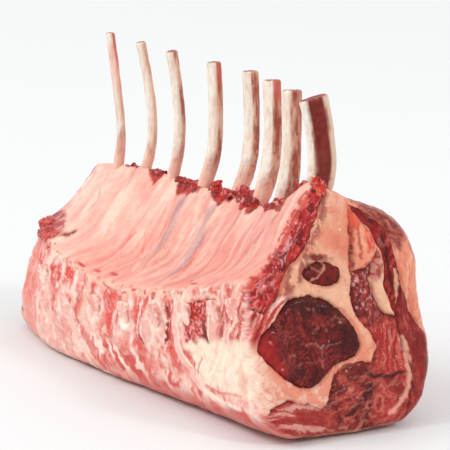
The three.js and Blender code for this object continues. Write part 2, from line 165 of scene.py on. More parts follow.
# the rib bones, one value a bone from the far end to the near end
RIB_IN_WALL = {"width": 8, "thickness": 4.4}
RIB_DEPTH = 0.8
STRIP_TURN = 0.16
RIB_STOPS = {"in_wall": [0.3, 0.6, 0.8], "middle": 0.55, "waist": 0.92}
SAWN_END = {"width": 9.5, "thickness": 11.5, "reach": 0.5}
SAWN_NECK = {"width": 9.5, "thickness": 7.5, "inwards": 5, "rise": 0.25}
SAWN_LEVEL = 44
BONES = {
    "width": [5.4, 5.6, 6.6, 8, 8.6, 9.4, 9, 7.2],
    "thickness": [4.2, 4.4, 5.2, 6.6, 7.2, 8.4, 9.4, 15.4],
    "base_y": [-4.1, -3.8, -5.9, -3.8, -1.5, -8.3, -13.6, -12.6],
    "base_z": [88, 88, 88, 88, 88, 90, 94, 108],
    "middle_y": [-4.6, -1.1, -1.1, 2.7, 5.9, -0.4, -9, -11.8],
    "tip_y": [-7.3, -5.3, -4.1, 3.5, 6.6, 0.6, -7.2, -15.1],
    "tip_z": [155.9, 154.2, 152.9, 150.1, 148.8, 148.5, 148.1, 149.2],
    "rise_from": [0.16, 0.16, 0.16, 0.16, 0.16, 0.16, 0.12, 0.02],
    "slant": [10, 10, 10, 10, 10, 10, 9, 6],
    "sawn_shift": [8, 8, 8, 8, 8, 8, 8, 2],
    "sawn_below_shelf": [14, 19, 11, 11, 11.5, 11.5, 12, 12],
}


# ------------------------------------------------------------------ numbers and noise
def mix(a, b, t):
    """a at t = 0 and b at t = 1."""
    return a + (b - a) * t


def ramp(value, low, high):
    """0 below low and 1 above high, eased between them."""
    t = np.clip((value - low) / (high - low), 0, 1)
    return t * t * (3 - 2 * t)


def smooth_between(a, b, slope_a, slope_b, t):
    """A curve from a at t = 0 to b at t = 1 that starts and ends with the given slopes."""
    return (
        (2 * t**3 - 3 * t**2 + 1) * a
        + (t**3 - 2 * t**2 + t) * slope_a
        + (3 * t**2 - 2 * t**3) * b
        + (t**3 - t**2) * slope_b
    )


# how strong the noise is, the level at which it is read for 2-D points, and how far the lumps of
# one seed lie from those of the next
NOISE_GAIN = 1.7
FLAT_LEVEL = 0.37
SEED_SHIFT = 17.3


class Noise:
    """Smooth gradient noise over points (n, 3), about -1 to 1, the same for the same seed."""

    def __init__(self, seed):
        rng = np.random.default_rng(seed)
        self.order = np.tile(rng.permutation(256), 2)
        slopes = rng.normal(size=(256, 3))
        self.slopes = slopes / np.linalg.norm(slopes, axis=1, keepdims=True)

    def __call__(self, points):
        base = np.floor(points).astype(int)
        inside = points - base
        eased = inside**3 * (inside * (inside * 6 - 15) + 10)
        total = np.zeros(len(points))
        for dx in (0, 1):
            row = self.order[(base[:, 0] + dx) & 255]
            along_x = eased[:, 0] if dx else 1 - eased[:, 0]
            for dy in (0, 1):
                column = self.order[row + ((base[:, 1] + dy) & 255)]
                along_y = eased[:, 1] if dy else 1 - eased[:, 1]
                for dz in (0, 1):
                    corner = self.order[column + ((base[:, 2] + dz) & 255)]
                    along_z = eased[:, 2] if dz else 1 - eased[:, 2]
                    slope = np.einsum("ij,ij->i", self.slopes[corner], inside - (dx, dy, dz))
                    total += along_x * along_y * along_z * slope
        return total * NOISE_GAIN


NOISES = [Noise(seed) for seed in range(8)]


def fbm(points, size, octaves=3, seed=0):
    """Layered noise whose largest lumps are about `size` across; size may be one per axis."""
    points = np.asarray(points, float)
    if points.shape[1] == 2:
        points = np.column_stack([points, np.full(len(points), FLAT_LEVEL)])
    size = np.append(size, 1.0)[:3] if np.ndim(size) else float(size)
    total = np.zeros(len(points))
    for octave in range(octaves):
        noise = NOISES[(seed + octave) % len(NOISES)]
        total += 0.5**octave * noise(points / size * 2**octave + SEED_SHIFT * (seed + 1))
    return total


def ragged(points, size, amount, seed=0):
    """2-D points moved about a little, so that a mask drawn with them has an uneven edge."""
    moves = [fbm(points, size, 3, seed + k) for k in (0, 3)]
    return points + amount * np.column_stack(moves)


# ------------------------------------------------------------------ the form of the meat
def along(row, share):
    """A smooth value through the knots of one ALONG row."""
    knots = np.asarray(ALONG[row], float)
    last = len(knots) - 1
    t = np.clip(share, 0, 1) * last
    i = np.minimum(np.floor(t).astype(int), last - 1)

    def at(k):
        return knots[np.clip(k, 0, last)]

    slope_a = (at(i + 1) - at(i - 1)) / 2
    slope_b = (at(i + 2) - at(i)) / 2
    return smooth_between(at(i), at(i + 1), slope_a, slope_b, t - i)


def warp(y, z, share):
    """A point of the near face carried to the share of the length."""
    chine = along("chine_y", share)
    cap = along("cap_y", share)
    width = NEAR["cap_y"] - NEAR["chine_y"]
    across = (y - NEAR["chine_y"]) / width
    crest_across = (NEAR["crest_y"] - NEAR["chine_y"]) / width
    on_wall = across < crest_across
    to_crest = np.where(on_wall, across / crest_across, (1 - across) / (1 - crest_across))
    high = np.maximum(0, z) / NEAR["crest_z"]
    left = np.maximum(0, 1 - across / crest_across)
    crest_move = along("crest_y", share) - mix(chine, cap, crest_across)
    out_y = (
        mix(chine, cap, across)
        + crest_move * to_crest * high**CREST_BEND
        + along("shelf_inward", share) * left * (z / NEAR["shelf_z"]) ** 2
    )
    shelf, crest, cap_z = (along(row, share) / NEAR[row] for row in ("shelf_z", "crest_z", "cap_z"))
    past = (across - crest_across) / (1 - crest_across)
    tall = np.where(on_wall, mix(shelf, crest, across / crest_across), mix(crest, cap_z, past))
    foot = along("foot_inward", share) * left * np.maximum(0, 1 - z / FOOT_HEIGHT) ** 2
    return out_y + foot, z * tall


def near_end(share, width):
    """0 along the middle of the rack, rising to 1 in a quarter circle over the end's width."""
    left = np.minimum(share, 1 - share) / width
    inside = np.clip(1 - left, 0, 1)
    return 1 - np.sqrt(1 - inside**2)


def place(y, z, share):
    """Points of the near face, carried along the rack, as (n, 3) millimetres."""
    y, z, share = (np.asarray(v, float) for v in np.broadcast_arrays(y, z, share))
    py, pz = warp(y, z, share)
    end = near_end(share, END_ROUNDING["share"])
    side = (py - FACE_MIDDLE["y"]) / FACE_MIDDLE["half_width"]
    low = np.maximum(0, 1 - pz / END_LIFT["height"]) ** 2
    is_near = share > 0.5
    sides = np.where(is_near, END_LIFT["near_sides"], END_LIFT["far_sides"]) * side**2
    width = np.where(is_near, END_LIFT["near"], END_LIFT["far"])
    lift = near_end(share, width) * low * (END_LIFT["middle"] + sides)
    drawn_in = np.where(side < 0, END_ROUNDING["chine"], END_ROUNDING["cap"])
    out_y = py - drawn_in * end * side**3
    out_z = pz + lift - END_ROUNDING["top"] * end * (z / NEAR["crest_z"]) ** 4
    faces = [
        face["x"] + face["turn"] * (py - FACE_MIDDLE["y"]) + face["lean"] * pz
        for face in (FAR_FACE, NEAR_FACE)
    ]
    return np.stack([mix(faces[0], faces[1], share), out_y, out_z], axis=-1)


def share_at(y, z, x):
    """The share of the length at which points of the near face reach a given x."""
    low, high = np.full(np.shape(x), -0.2), np.full(np.shape(x), 1.2)
    for _ in range(24):
        middle = (low + high) / 2
        short = place(y, z, middle)[..., 0] < x
        low, high = np.where(short, middle, low), np.where(short, high, middle)
    return (low + high) / 2


# ------------------------------------------------------------------ outlines on the near face
def resample(points, step=None, count=None, closed=False):
    """Points at equal distances along a polyline."""
    if closed:
        points = np.vstack([points, points[:1]])
    lengths = np.concatenate([[0], np.cumsum(np.linalg.norm(np.diff(points, axis=0), axis=1))])
    count = count or max(2, round(lengths[-1] / step))
    at = np.linspace(0, lengths[-1], count + 1)
    spaced = np.column_stack([np.interp(at, lengths, column) for column in points.T])
    return spaced[:-1] if closed else spaced


def catmull(knots, closed=False, power=0.0, detail=24):
    """A Catmull-Rom curve through the knots; power 0 is uniform and 0.5 centripetal."""
    knots = np.asarray(knots, float)
    n = len(knots)
    if closed:
        rows = [[(i + k) % n for k in (-1, 0, 1, 2)] for i in range(n)]
        quads = [knots[row] for row in rows]
    else:
        first, last = knots[0], knots[-1]
        if power:
            first, last = 2 * knots[0] - knots[1], 2 * knots[-1] - knots[-2]
        padded = np.vstack([[first], knots, [last]])
        quads = [padded[i : i + 4] for i in range(n - 1)]
    t = np.linspace(0, 1, detail, endpoint=False)[:, None]
    pieces = []
    for p0, p1, p2, p3 in quads:
        if power == 0:
            m1, m2 = (p2 - p0) / 2, (p3 - p1) / 2
        else:
            d0, d1, d2 = (max(np.linalg.norm(b - a), 1e-6) ** power
                          for a, b in ((p0, p1), (p1, p2), (p2, p3)))
            m1 = ((p1 - p0) / d0 - (p2 - p0) / (d0 + d1) + (p2 - p1) / d1) * d1
            m2 = ((p2 - p1) / d1 - (p3 - p1) / (d1 + d2) + (p3 - p2) / d2) * d1
        pieces.append(smooth_between(p1, p2, m1, m2, t))
    curve = np.vstack(pieces)
    return curve if closed else np.vstack([curve, knots[-1:]])


def outside_loop():
    """The whole outline of the rack, its corners eased, with the span of each outside seam."""
    points, spans, radii = [], {}, []
    for name, (step, radius) in OUTSIDE.items():
        seam = resample(catmull(SEAMS[name]), step)[:-1]
        start = sum(map(len, points))
        spans[name] = (start, start + len(seam))
        points.append(seam)
        radii += [radius] * len(seam)
    loop = np.vstack(points)
    ahead = np.linalg.norm(np.roll(loop, -1, axis=0) - loop, axis=1)
    at = np.concatenate([[0], np.cumsum(ahead)[:-1]])
    whole = ahead.sum()
    apart = np.abs(at[:, None] - at[None, :])
    apart = np.minimum(apart, whole - apart)
    share = (ahead + np.roll(ahead, 1)) / 2

    def eased(values, reach):
        weights = np.exp(-0.5 * (apart / np.reshape(reach, (-1, 1))) ** 2) * share
        return (weights @ values) / weights.sum(axis=1, keepdims=True)

    low = ramp(-loop[:, 1], -LOOP_EASING["low_below"], -LOOP_EASING["low_at"])
    loop = eased(loop, mix(LOOP_EASING["high"], LOOP_EASING["low"], low))
    loop[:, 1] = np.maximum(0, loop[:, 1])
    along_it = np.roll(loop, -1, axis=0) - np.roll(loop, 1, axis=0)
    normals = np.column_stack([-along_it[:, 1], along_it[:, 0]])
    normals /= np.linalg.norm(normals, axis=1, keepdims=True)
    normals = eased(normals, np.full(len(loop), LOOP_EASING["normals"]))
    normals /= np.linalg.norm(normals, axis=1, keepdims=True)
    reach = np.full(len(loop), LOOP_EASING["radii"])
    radii = eased(np.array(radii, float)[:, None], reach)[:, 0]
    return loop, normals, radii, spans, at


LOOP, LOOP_NORMALS, LOOP_RADII, LOOP_SPANS, LOOP_AT = outside_loop()


def nearest_on(points, polyline, closed=False):
    """Distance from each point to a polyline, and where on it as an index with a fraction."""
    starts = polyline if closed else polyline[:-1]
    ends = np.roll(polyline, -1, axis=0) if closed else polyline[1:]
    best = np.full(len(points), np.inf)
    where = np.zeros(len(points))
    for k, (a, b) in enumerate(zip(starts, ends)):
        step = b - a
        t = np.clip(((points - a) @ step) / max(step @ step, 1e-12), 0, 1)
        gap = ((points - a - t[:, None] * step) ** 2).sum(axis=1)
        closer = gap < best
        best[closer] = gap[closer]
        where[closer] = k + t[closer]
    return np.sqrt(best), where


def on_loop(where, values):
    """A value of the outside loop at an index with a fraction."""
    i = np.floor(where).astype(int)
    f = where - i
    a, b = values[i % len(values)], values[(i + 1) % len(values)]
    return a + (b - a) * (f[:, None] if values.ndim > 1 else f)


def is_inside(points, outline):
    """Whether points lie inside a closed outline."""
    inside = np.zeros(len(points), bool)
    ends = np.roll(outline, -1, axis=0)
    for (ay, az), (by, bz) in zip(outline, ends):
        crosses = (az > points[:, 1]) != (bz > points[:, 1])
        if az != bz:
            inside ^= crosses & (points[:, 0] < (by - ay) * (points[:, 1] - az) / (bz - az) + ay)
    return inside


def wobble(points):
    """Inside borders drawn by hand rather than by rule; none at the outside of the rack."""
    gap, _ = nearest_on(points, LOOP, closed=True)
    wide = np.column_stack([fbm(points, WOBBLE["size"], 1, seed) for seed in (1, 4)])
    fine = np.column_stack([fbm(points, WOBBLE["fine_size"], 2, seed) for seed in (2, 6)])
    move = WOBBLE["amount"] * wide + WOBBLE["fine_amount"] * fine
    return points + move * ramp(gap, 0, WOBBLE["fade"])[:, None]


def seam_points(name):
    """A seam as close points; inside seams end on the rounded outline and wander a little."""
    if name in OUTSIDE:
        start, end = LOOP_SPANS[name]
        return np.vstack([LOOP[start:end], LOOP[end % len(LOOP)][None]])
    points = resample(catmull(SEAMS[name]), INSIDE_STEP)
    corners = {tuple(SEAMS[seam][0]): LOOP[LOOP_SPANS[seam][0]] for seam in OUTSIDE}
    t = np.linspace(0, 1, len(points))[:, None]
    for end, fade in ((0, (1 - t) ** 3), (-1, t**3)):
        corner = corners.get(tuple(SEAMS[name][end]))
        if corner is not None:
            points = points + (corner - points[end]) * fade
    return wobble(points)


SEAM_POINTS = {name: seam_points(name) for name in SEAMS}


def outline_of(seams):
    """The closed outline that a layer's seams make; a minus turns a seam round."""
    parts = []
    for entry in seams:
        points = SEAM_POINTS[entry.lstrip("-")]
        parts.append((points[::-1] if entry.startswith("-") else points)[:-1])
    return np.vstack(parts)


def muscle_outline(knots):
    """The closed outline of one of the two loin muscles."""
    return wobble(resample(catmull(knots, closed=True, power=0.5), 1.0, closed=True))


# ------------------------------------------------------------------ relief
def rib_slide(down):
    """How far a rib has moved towards the near end on its way down the wall."""
    return RIB_SLIDE["reach"] * np.maximum(down, 0) ** RIB_SLIDE["power"]


def rib_phase(x, down):
    """0 on the middle of a rib and 1 on the next."""
    return (x - FIRST_RIB_X - rib_slide(down)) / RIB_PITCH


def ridge(x, down):
    """How far the rib wall swells: most over a rib, least on the near side of it."""
    turn = 2 * np.pi * rib_phase(x, down)
    wave = np.cos(turn) + RIDGE["skew"] * np.cos(2 * turn + RIDGE["skew_turn"])
    return RIDGE["height"] * wave * np.sqrt(np.sin(np.pi * down))


def zone(where, name, soft=4.0, reach=0.0):
    """How much a place on the outside loop belongs to a seam, eased over its ends. The reach
    makes the seam longer at both ends."""
    start, end = LOOP_SPANS[name]
    at = on_loop(where, LOOP_AT)
    low, high = LOOP_AT[start], LOOP_AT[end] if end < len(LOOP_AT) else LOOP_AT[-1] + 1
    low, high = low - reach, high + reach
    inside = ramp(at, low - soft, low + soft) * (1 - ramp(at, high - soft, high + soft))
    whole = LOOP_AT[-1] + 1
    if high + soft > whole:
        inside = np.maximum(inside, 1 - ramp(at + whole, high - soft, high + soft))
    return inside


def side_relief(points, where):
    """Height of the outside surface above the plain form, in millimetres."""
    pleura = zone(where, "pleura")
    chine = zone(where, "chine_low", 6)
    rough = 0.55 + 0.75 * chine - 0.35 * pleura
    lumps = fbm(points, (16, 11, 11), 2, 0)
    small = fbm(points, 4.5, 2, 2)
    fine = fbm(points, 1.7, 2, 5)
    return rough * (0.8 * lumps + 0.42 * small + 0.15 * fine)


def face_relief(yz, end):
    """Height of a cut face above its plane, in millimetres."""
    seed = 3 if end else 6
    return 0.8 * fbm(yz, 13, 2, seed) + 0.3 * fbm(yz, 4, 2, seed + 1) + 0.1 * fbm(yz, 1.5, 2, 2)


# ------------------------------------------------------------------ lofted layers
def cut_edge(yz, gap, where):
    """How far points have turned from a cut face into the side of the rack, 0 to 1, and the share
    of the length by which the rounded edge lies behind the cut there."""
    radius = on_loop(where, LOOP_RADII)
    t = np.clip(1 - gap / radius, 0, 1)
    drop = radius * (1 - np.sqrt(1 - t**2))
    far_x, near_x = (place(yz[:, 0], yz[:, 1], share)[:, 0] for share in (0.0, 1.0))
    return t, drop / (near_x - far_x)


def face_points(yz, end, raised):
    """Points of a cut face (end 1 near, 0 far), rounded into the sides of the rack, with the
    directions in which they rise."""
    gap, where = nearest_on(yz, LOOP, closed=True)
    t, share = cut_edge(yz, gap, where)
    points = place(yz[:, 0], yz[:, 1], 1 - share if end else share)
    facing = np.sqrt(1 - t**2)
    outwards = 1 if end else -1
    points[:, 0] += outwards * facing * (face_relief(yz, end) + raised)
    sideways = on_loop(where, LOOP_NORMALS) * t[:, None]
    points[:, 1:] += sideways * side_relief(points, where)[:, None]
    rise = np.column_stack([outwards * facing, sideways])
    return points, rise, where, gap


def in_meat(points, outline, holes):
    """Whether points lie inside the outline and outside its holes."""
    inside = is_inside(points, outline)
    for hole in holes:
        inside &= ~is_inside(points, hole)
    return inside


def rim_gap(points, loops):
    """Distance from each point to the nearest of several closed outlines."""
    return np.min([nearest_on(points, loop, closed=True)[0] for loop in loops], axis=0)


def fill(outline, holes, step, rng):
    """Triangles that fill an outline: (inner points, triangles over outline + holes + inner)."""
    low, high = outline.min(axis=0), outline.max(axis=0)
    grid = []
    for k, z in enumerate(np.arange(low[1], high[1], step * ROW_HEIGHT)):
        row = np.arange(low[0] + (k % 2) * step / 2, high[0], step)
        grid.append(np.column_stack([row, np.full(len(row), z)]))
    inner = np.vstack(grid)
    inner = inner + rng.uniform(-GRID_JITTER, GRID_JITTER, inner.shape) * step
    loops = [outline, *holes]
    inner = inner[in_meat(inner, outline, holes) & (rim_gap(inner, loops) > 0.5 * step)]
    points = np.vstack([*loops, inner])
    edges, start = [], 0
    for loop in loops:
        n = len(loop)
        edges += [(start + i, start + (i + 1) % n) for i in range(n)]
        start += n
    result = delaunay_2d_cdt([Vector(p) for p in points.tolist()], edges, [], 0, 1e-7, True)
    if len(result[0]) != len(points):
        raise RuntimeError("an outline of the rack crosses itself")
    order = np.array([ids[0] for ids in result[3]])
    triangles = order[np.array([face for face in result[2] if len(face) == 3])]
    triangles = triangles[in_meat(points[triangles].mean(axis=1), outline, holes)]
    a, b, c = (points[triangles[:, k]] for k in range(3))
    area = (b[:, 0] - a[:, 0]) * (c[:, 1] - a[:, 1]) - (b[:, 1] - a[:, 1]) * (c[:, 0] - a[:, 0])
    triangles[area < 0] = triangles[area < 0][:, ::-1]
    return inner, triangles


def clockwise(loop):
    """Whether a closed outline runs clockwise."""
    y, z = loop.T
    return np.sum(y * np.roll(z, -1) - np.roll(y, -1) * z) < 0


def narrowed(yz, share):
    """The eye's outline, smaller towards the far end."""
    t = (1 - ramp(share, EYE_NARROWING["from"], 1))[:, None]
    centre = np.array([EYE_NARROWING["y"], EYE_NARROWING["z"]])
    inwards = (1 - EYE_NARROWING["share"]) * t
    return mix(yz, centre, inwards) + t * [EYE_NARROWING["shift"], -EYE_NARROWING["drop"]]


# how far each layer bulges out of the cuts, and the groove that runs round it
PROUD = {
    "rib_wall": 1.0, "fat_bed": 0.5, "outer_fat": 0.8, "cap_lean": -1.4, "cap_flap": 2.6,
    "fat_strip": 2.4, "outer_lean": 0.8, "back_muscle": 0.5, "loin_eye": 0.9, "eye_companion": 0.6,
}
GROOVE = {"depth": 0.9, "width": 1.3}
BULGE_WIDTH = 3.2
# the length that the rings of a layer are counted over, and the least height above the ground
LOFT_LENGTH = 245
GROUND_GAP = 0.05
# points on a cut face: height of a row as a share of the step, and how far they stray from it
ROW_HEIGHT = 0.866
GRID_JITTER = 0.18
# the hidden walls of the tunnels hold one ring out of eight
TUNNEL_STRIDE = 8


class Layer:
    """A solid through the rack: its vertices in millimetres, its faces, and for each vertex its
    place on the near face (yz) and on the outside loop (where), its distance from that loop (gap)
    and from the layer's own rim (depth), and the way it rises."""

    def __init__(self, outline, holes, ring_step, fill_steps, proud, narrow, seed):
        rng = np.random.default_rng(seed)
        outline = outline[::-1] if clockwise(outline) else outline
        holes = [hole if clockwise(hole) else hole[::-1] for hole in holes]
        loops = [outline, *holes]
        rim = np.vstack(loops)
        count = len(rim)
        moving = np.concatenate([np.full((len(loop), 1), k in narrow) for k, loop in enumerate(loops)])
        far_end = np.zeros(1)
        far_loops = [narrowed(loop, far_end) if k in narrow and k else loop
                     for k, loop in enumerate(loops)]
        rings = max(2, round(LOFT_LENGTH / ring_step))
        gap, where = nearest_on(rim, LOOP, closed=True)
        outer = gap < 1e-6
        _, drop = cut_edge(rim, gap, where)
        verts = []
        for k in range(1, rings):
            share = mix(drop, 1 - drop, k / rings)
            yz = np.where(moving, narrowed(rim, share), rim)
            verts.append(self.side_ring(yz, share, outer, where))
        faces_of_end, ends_found = [], []
        for end, step in ((0, fill_steps[1]), (1, fill_steps[0])):
            end_loops = loops if end else far_loops
            inner, triangles = fill(end_loops[0], end_loops[1:], step, rng)
            whole = np.vstack([*end_loops, inner])
            yz = narrowed(whole, np.full(1, float(end))) if 0 in narrow else whole
            depth = rim_gap(whole, end_loops)
            groove = GROOVE["depth"] * ramp(fbm(whole, 6, 2, 4), -0.5, 0.3)
            raised = proud * np.sqrt(ramp(depth, 0, BULGE_WIDTH))
            raised -= groove * (1 - ramp(depth, 0, GROOVE["width"]))
            at, rise, near_where, near_gap = face_points(yz, end, raised)
            faces_of_end.append((whole, at, triangles))
            ends_found.append((rise, near_where, near_gap, depth, np.ones(len(depth), bool)))
        (far_yz, far_at, far_tri), (near_yz, near_at, near_tri) = faces_of_end
        inner_far, inner_near = len(far_yz) - count, len(near_yz) - count
        self.verts = np.vstack([far_at[:count], *verts, near_at[:count], far_at[count:],
                                near_at[count:]])
        self.yz = np.vstack([np.tile(rim, (rings + 1, 1)), far_yz[count:], near_yz[count:]])
        middle = count * (rings - 1)

        def whole_of(ring, index):
            """One value a vertex, from the rings between and from what the ends found."""
            far, near = (found[index] for found in ends_found)
            return np.concatenate([far[:count], ring, near[:count], far[count:], near[count:]])

        sideways = np.column_stack([np.zeros(count), on_loop(where, LOOP_NORMALS)])
        sideways[~outer] = 0
        self.rise = whole_of(np.tile(sideways, (rings - 1, 1)), 0)
        self.where = whole_of(np.tile(where, rings - 1), 1)
        self.gap = whole_of(np.tile(gap, rings - 1), 2)
        self.depth = whole_of(np.zeros(middle), 3)
        self.on_cut = whole_of(np.zeros(middle, bool), 4)
        base = count * (rings + 1)
        far_index = np.concatenate([np.arange(count), base + np.arange(inner_far)])
        near_index = np.concatenate([count * rings + np.arange(count),
                                     base + inner_far + np.arange(inner_near)])
        quads, start = [], 0
        for number, loop in enumerate(loops):
            n = len(loop)
            i = start + np.arange(n)
            j = start + (np.arange(n) + 1) % n
            stops = np.append(np.arange(0, rings, TUNNEL_STRIDE if number else 1), rings)
            for a, b in zip(stops * count, stops[1:] * count):
                quads.append(np.column_stack([i + a, j + a, j + b, i + b]))
            start += n
        self.quads = np.vstack(quads)
        self.triangles = np.vstack([far_index[far_tri][:, ::-1], near_index[near_tri]])
        self.outer = np.concatenate([np.tile(outer, rings + 1),
                                     np.zeros(inner_far + inner_near, bool)])
        self.drop_unused()

    def drop_unused(self):
        """Leaves out the points that no face holds."""
        used = np.zeros(len(self.verts), bool)
        used[self.quads] = True
        used[self.triangles] = True
        number = np.cumsum(used) - 1
        self.quads, self.triangles = number[self.quads], number[self.triangles]
        for name in ("verts", "yz", "rise", "where", "gap", "depth", "on_cut", "outer"):
            setattr(self, name, getattr(self, name)[used])

    @staticmethod
    def side_ring(yz, share, outer, where):
        """One ring of the sides, with the relief of the outside and the swell of the ribs."""
        points = place(yz[:, 0], yz[:, 1], share)
        start, end = LOOP_SPANS["pleura"]
        down = 1 - (where - start) / (end - start)
        on_wall = outer & (down > 0) & (down < 1)
        lift = np.zeros(len(yz))
        lift[on_wall] = ridge(points[on_wall, 0], down[on_wall])
        lift *= np.minimum(1, RIDGE["end_fade"] * share * (1 - share))
        relief = np.where(outer, side_relief(points, where), 0)
        points[:, 1:] += on_loop(where, LOOP_NORMALS) * relief[:, None]
        points[:, 1] += lift * RIDGE["y"]
        points[:, 2] += lift * RIDGE["z"]
        points[:, 2] = np.maximum(points[:, 2], GROUND_GAP)
        return points


def mesh_object(name, verts, quads, triangles, paint):
    """A smooth mesh from millimetre points, with its paint as vertex values."""
    points = (np.asarray(verts) + ORIGIN_SHIFT) * MM
    mesh = bpy.data.meshes.new(name)
    corner_count = 4 * len(quads) + 3 * len(triangles)
    mesh.vertices.add(len(points))
    mesh.vertices.foreach_set("co", points.astype(np.float32).ravel())
    mesh.loops.add(corner_count)
    corners = np.concatenate([np.ravel(quads), np.ravel(triangles)]).astype(np.int32)
    mesh.loops.foreach_set("vertex_index", corners)
    starts = np.concatenate([np.arange(len(quads)) * 4,
                             4 * len(quads) + np.arange(len(triangles)) * 3])
    mesh.polygons.add(len(starts))
    mesh.polygons.foreach_set("loop_start", starts.astype(np.int32))
    mesh.update(calc_edges=True)
    mesh.validate()
    mesh.shade_smooth()
    mesh.set_sharp_from_angle(angle=math.radians(60))
    for mask, values in paint.masks().items():
        layer = mesh.attributes.new(mask, "FLOAT", "POINT")
        layer.data.foreach_set("value", np.clip(values, 0, 1).astype(np.float32))
    tint = mesh.attributes.new("tint", "FLOAT_COLOR", "POINT")
    rgba = np.column_stack([np.clip(paint.rgb, 0, 1), np.ones(len(points))])
    tint.data.foreach_set("color", rgba.astype(np.float32).ravel())
    obj = bpy.data.objects.new(name, mesh)
    bpy.context.scene.collection.objects.link(obj)
    return obj


def finish_piece(obj, material, slot, *nodes):
    """Gives a piece its material and lets it stand for its nodes of the frame, which it hides. The slot
    is not used.
    """
    if not obj.data.polygons:
        raise RuntimeError(f"{obj.name} came out without faces")
    obj.data.materials.append(material)
    if nodes:
        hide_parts(*nodes)
    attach(obj, "root")


# ------------------------------------------------------------------ bone lines
def wall_middle(up):
    """The middle of the rib wall on the near face: 1 at its top edge, 0 at the shelf."""
    inside = resample(catmull(SEAMS["pleura"]), count=200)
    back = resample(catmull(SEAMS["strip_inside"]), count=200)
    a = inside[round(up * 200)]
    b = back[round(mix(STRIP_TURN, 1, up) * 200)]
    return mix(a, b, RIB_DEPTH)


def bone_path(i, spacing):
    """The middle line of a bone and its section sizes, from its sawn end to its tip."""
    size = {name: values[i] for name, values in BONES.items()}
    base_x = FIRST_RIB_X + i * RIB_PITCH

    def in_wall(up):
        y, z = wall_middle(up)
        x = base_x + size["slant"] * (1 - up) ** SLANT_BEND
        return place(y, z, share_at(y, z, x))

    def on_chine(z):
        x = base_x + size["slant"] + size["sawn_shift"]
        return place(NEAR["chine_y"], z, share_at(NEAR["chine_y"], z, x))

    sawn = on_chine(SAWN_LEVEL)
    sawn[2] = on_chine(NEAR["shelf_z"])[2] - size["sawn_below_shelf"]

    def behind_saw(depth):
        return sawn + [0, depth, SAWN_NECK["rise"] * depth]

    def above(share):
        z = mix(size["base_z"], size["tip_z"], share)
        bow = size["middle_y"] - mix(size["base_y"], size["tip_y"], 0.5)
        y = mix(size["base_y"], size["tip_y"], share) + bow * 4 * share * (1 - share)
        return np.array([base_x - RIB_LEAN * (z - size["base_z"]), y, z])

    wide, thick = size["width"], size["thickness"]
    stops = [
        (behind_saw(-SAWN_END["reach"]), SAWN_END["width"], SAWN_END["thickness"]),
        (behind_saw(SAWN_NECK["inwards"]), SAWN_NECK["width"], SAWN_NECK["thickness"]),
    ]
    stops += [(in_wall(up), RIB_IN_WALL["width"], RIB_IN_WALL["thickness"])
              for up in RIB_STOPS["in_wall"]]
    stops += [
        (above(size["rise_from"]), wide, thick),
        (above(RIB_STOPS["middle"]), wide, thick * RIB_STOPS["waist"]),
        (above(1), wide, thick),
    ]
    curve = catmull([at for at, _, _ in stops], power=0.5, detail=40)
    sizes = np.array([[w, t] for _, w, t in stops])
    t = np.linspace(0, len(stops) - 1, len(curve))
    whole = np.column_stack([curve, *(np.interp(t, np.arange(len(stops)), c) for c in sizes.T)])
    lengths = np.concatenate(
        [[0], np.cumsum(np.linalg.norm(np.diff(curve, axis=0), axis=1))])
    at = np.linspace(0, lengths[-1], round(lengths[-1] / spacing) + 1)
    return np.column_stack([np.interp(at, lengths, column) for column in whole.T])


# ------------------------------------------------------------------ paint
# base colours, as linear red, green and blue
CREAM = (0.84, 0.55, 0.43)
PEACH = (0.82, 0.43, 0.33)
ROSE = (0.8, 0.26, 0.21)
STREAK = (0.66, 0.12, 0.09)
PALE = (0.9, 0.51, 0.43)
CHALK = (0.97, 0.79, 0.68)
SAWN = (0.8, 0.44, 0.38)
BLOOD = (0.74, 0.085, 0.07)
RED = (0.6, 0.05, 0.04)
BRIGHT_RED = (0.66, 0.035, 0.025)
DEEP_RED = (0.25, 0.008, 0.008)
WINE = (0.085, 0.006, 0.006)
WINE_DARK = (0.028, 0.003, 0.003)
CRIMSON = (0.33, 0.01, 0.012)
SALMON = (0.74, 0.27, 0.165)
BEIGE = (0.78, 0.42, 0.275)
SHADE = (0.3, 0.07, 0.055)
LEAN = (0.34, 0.03, 0.024)
LEAN_PALE = (0.56, 0.12, 0.085)
SLAB = (0.45, 0.03, 0.025)
GREY_PINK = (0.6, 0.33, 0.27)
BLACKISH = (0.02, 0.003, 0.003)
IVORY = (0.83, 0.76, 0.66)
TAN = (0.6, 0.3, 0.2)
BROWN_RED = (0.31, 0.06, 0.04)
MARROW = (0.28, 0.04, 0.03)


class Paint:
    """A colour for each vertex, with how wet it is and how strong its grain."""

    def __init__(self, count, colour, wet=0.4, grain=0.4):
        self.rgb = np.tile(np.array(colour, float), (count, 1))
        self.wet = np.full(count, float(wet))
        self.grain = np.full(count, float(grain))
        self.lift = np.zeros(count)

    def over(self, mask, colour=None, wet=None, grain=None, lift=0):
        """Lays a colour over the masked part, and raises it by lift millimetres."""
        mask = np.clip(mask, 0, 1)
        if colour is not None:
            self.rgb += (np.array(colour) - self.rgb) * mask[:, None]
        if lift:
            self.lift += lift * mask
        if wet is not None:
            self.wet += (wet - self.wet) * mask
        if grain is not None:
            self.grain += (grain - self.grain) * mask

    def lay(self, chosen, painter, mask, *values):
        """Blends a painter's work over the chosen vertices only."""
        index = np.flatnonzero(chosen & (mask > 0.002))
        if not len(index):
            return
        other = painter(*(value[index] for value in values))
        mask = mask[index]
        self.rgb[index] += (other.rgb - self.rgb[index]) * mask[:, None]
        for name in ("wet", "grain", "lift"):
            mine = getattr(self, name)
            mine[index] += (getattr(other, name) - mine[index]) * mask

    def masks(self):
        """The two masks that the materials read beside the colour."""
        return {"wet": self.wet, "grain": self.grain}


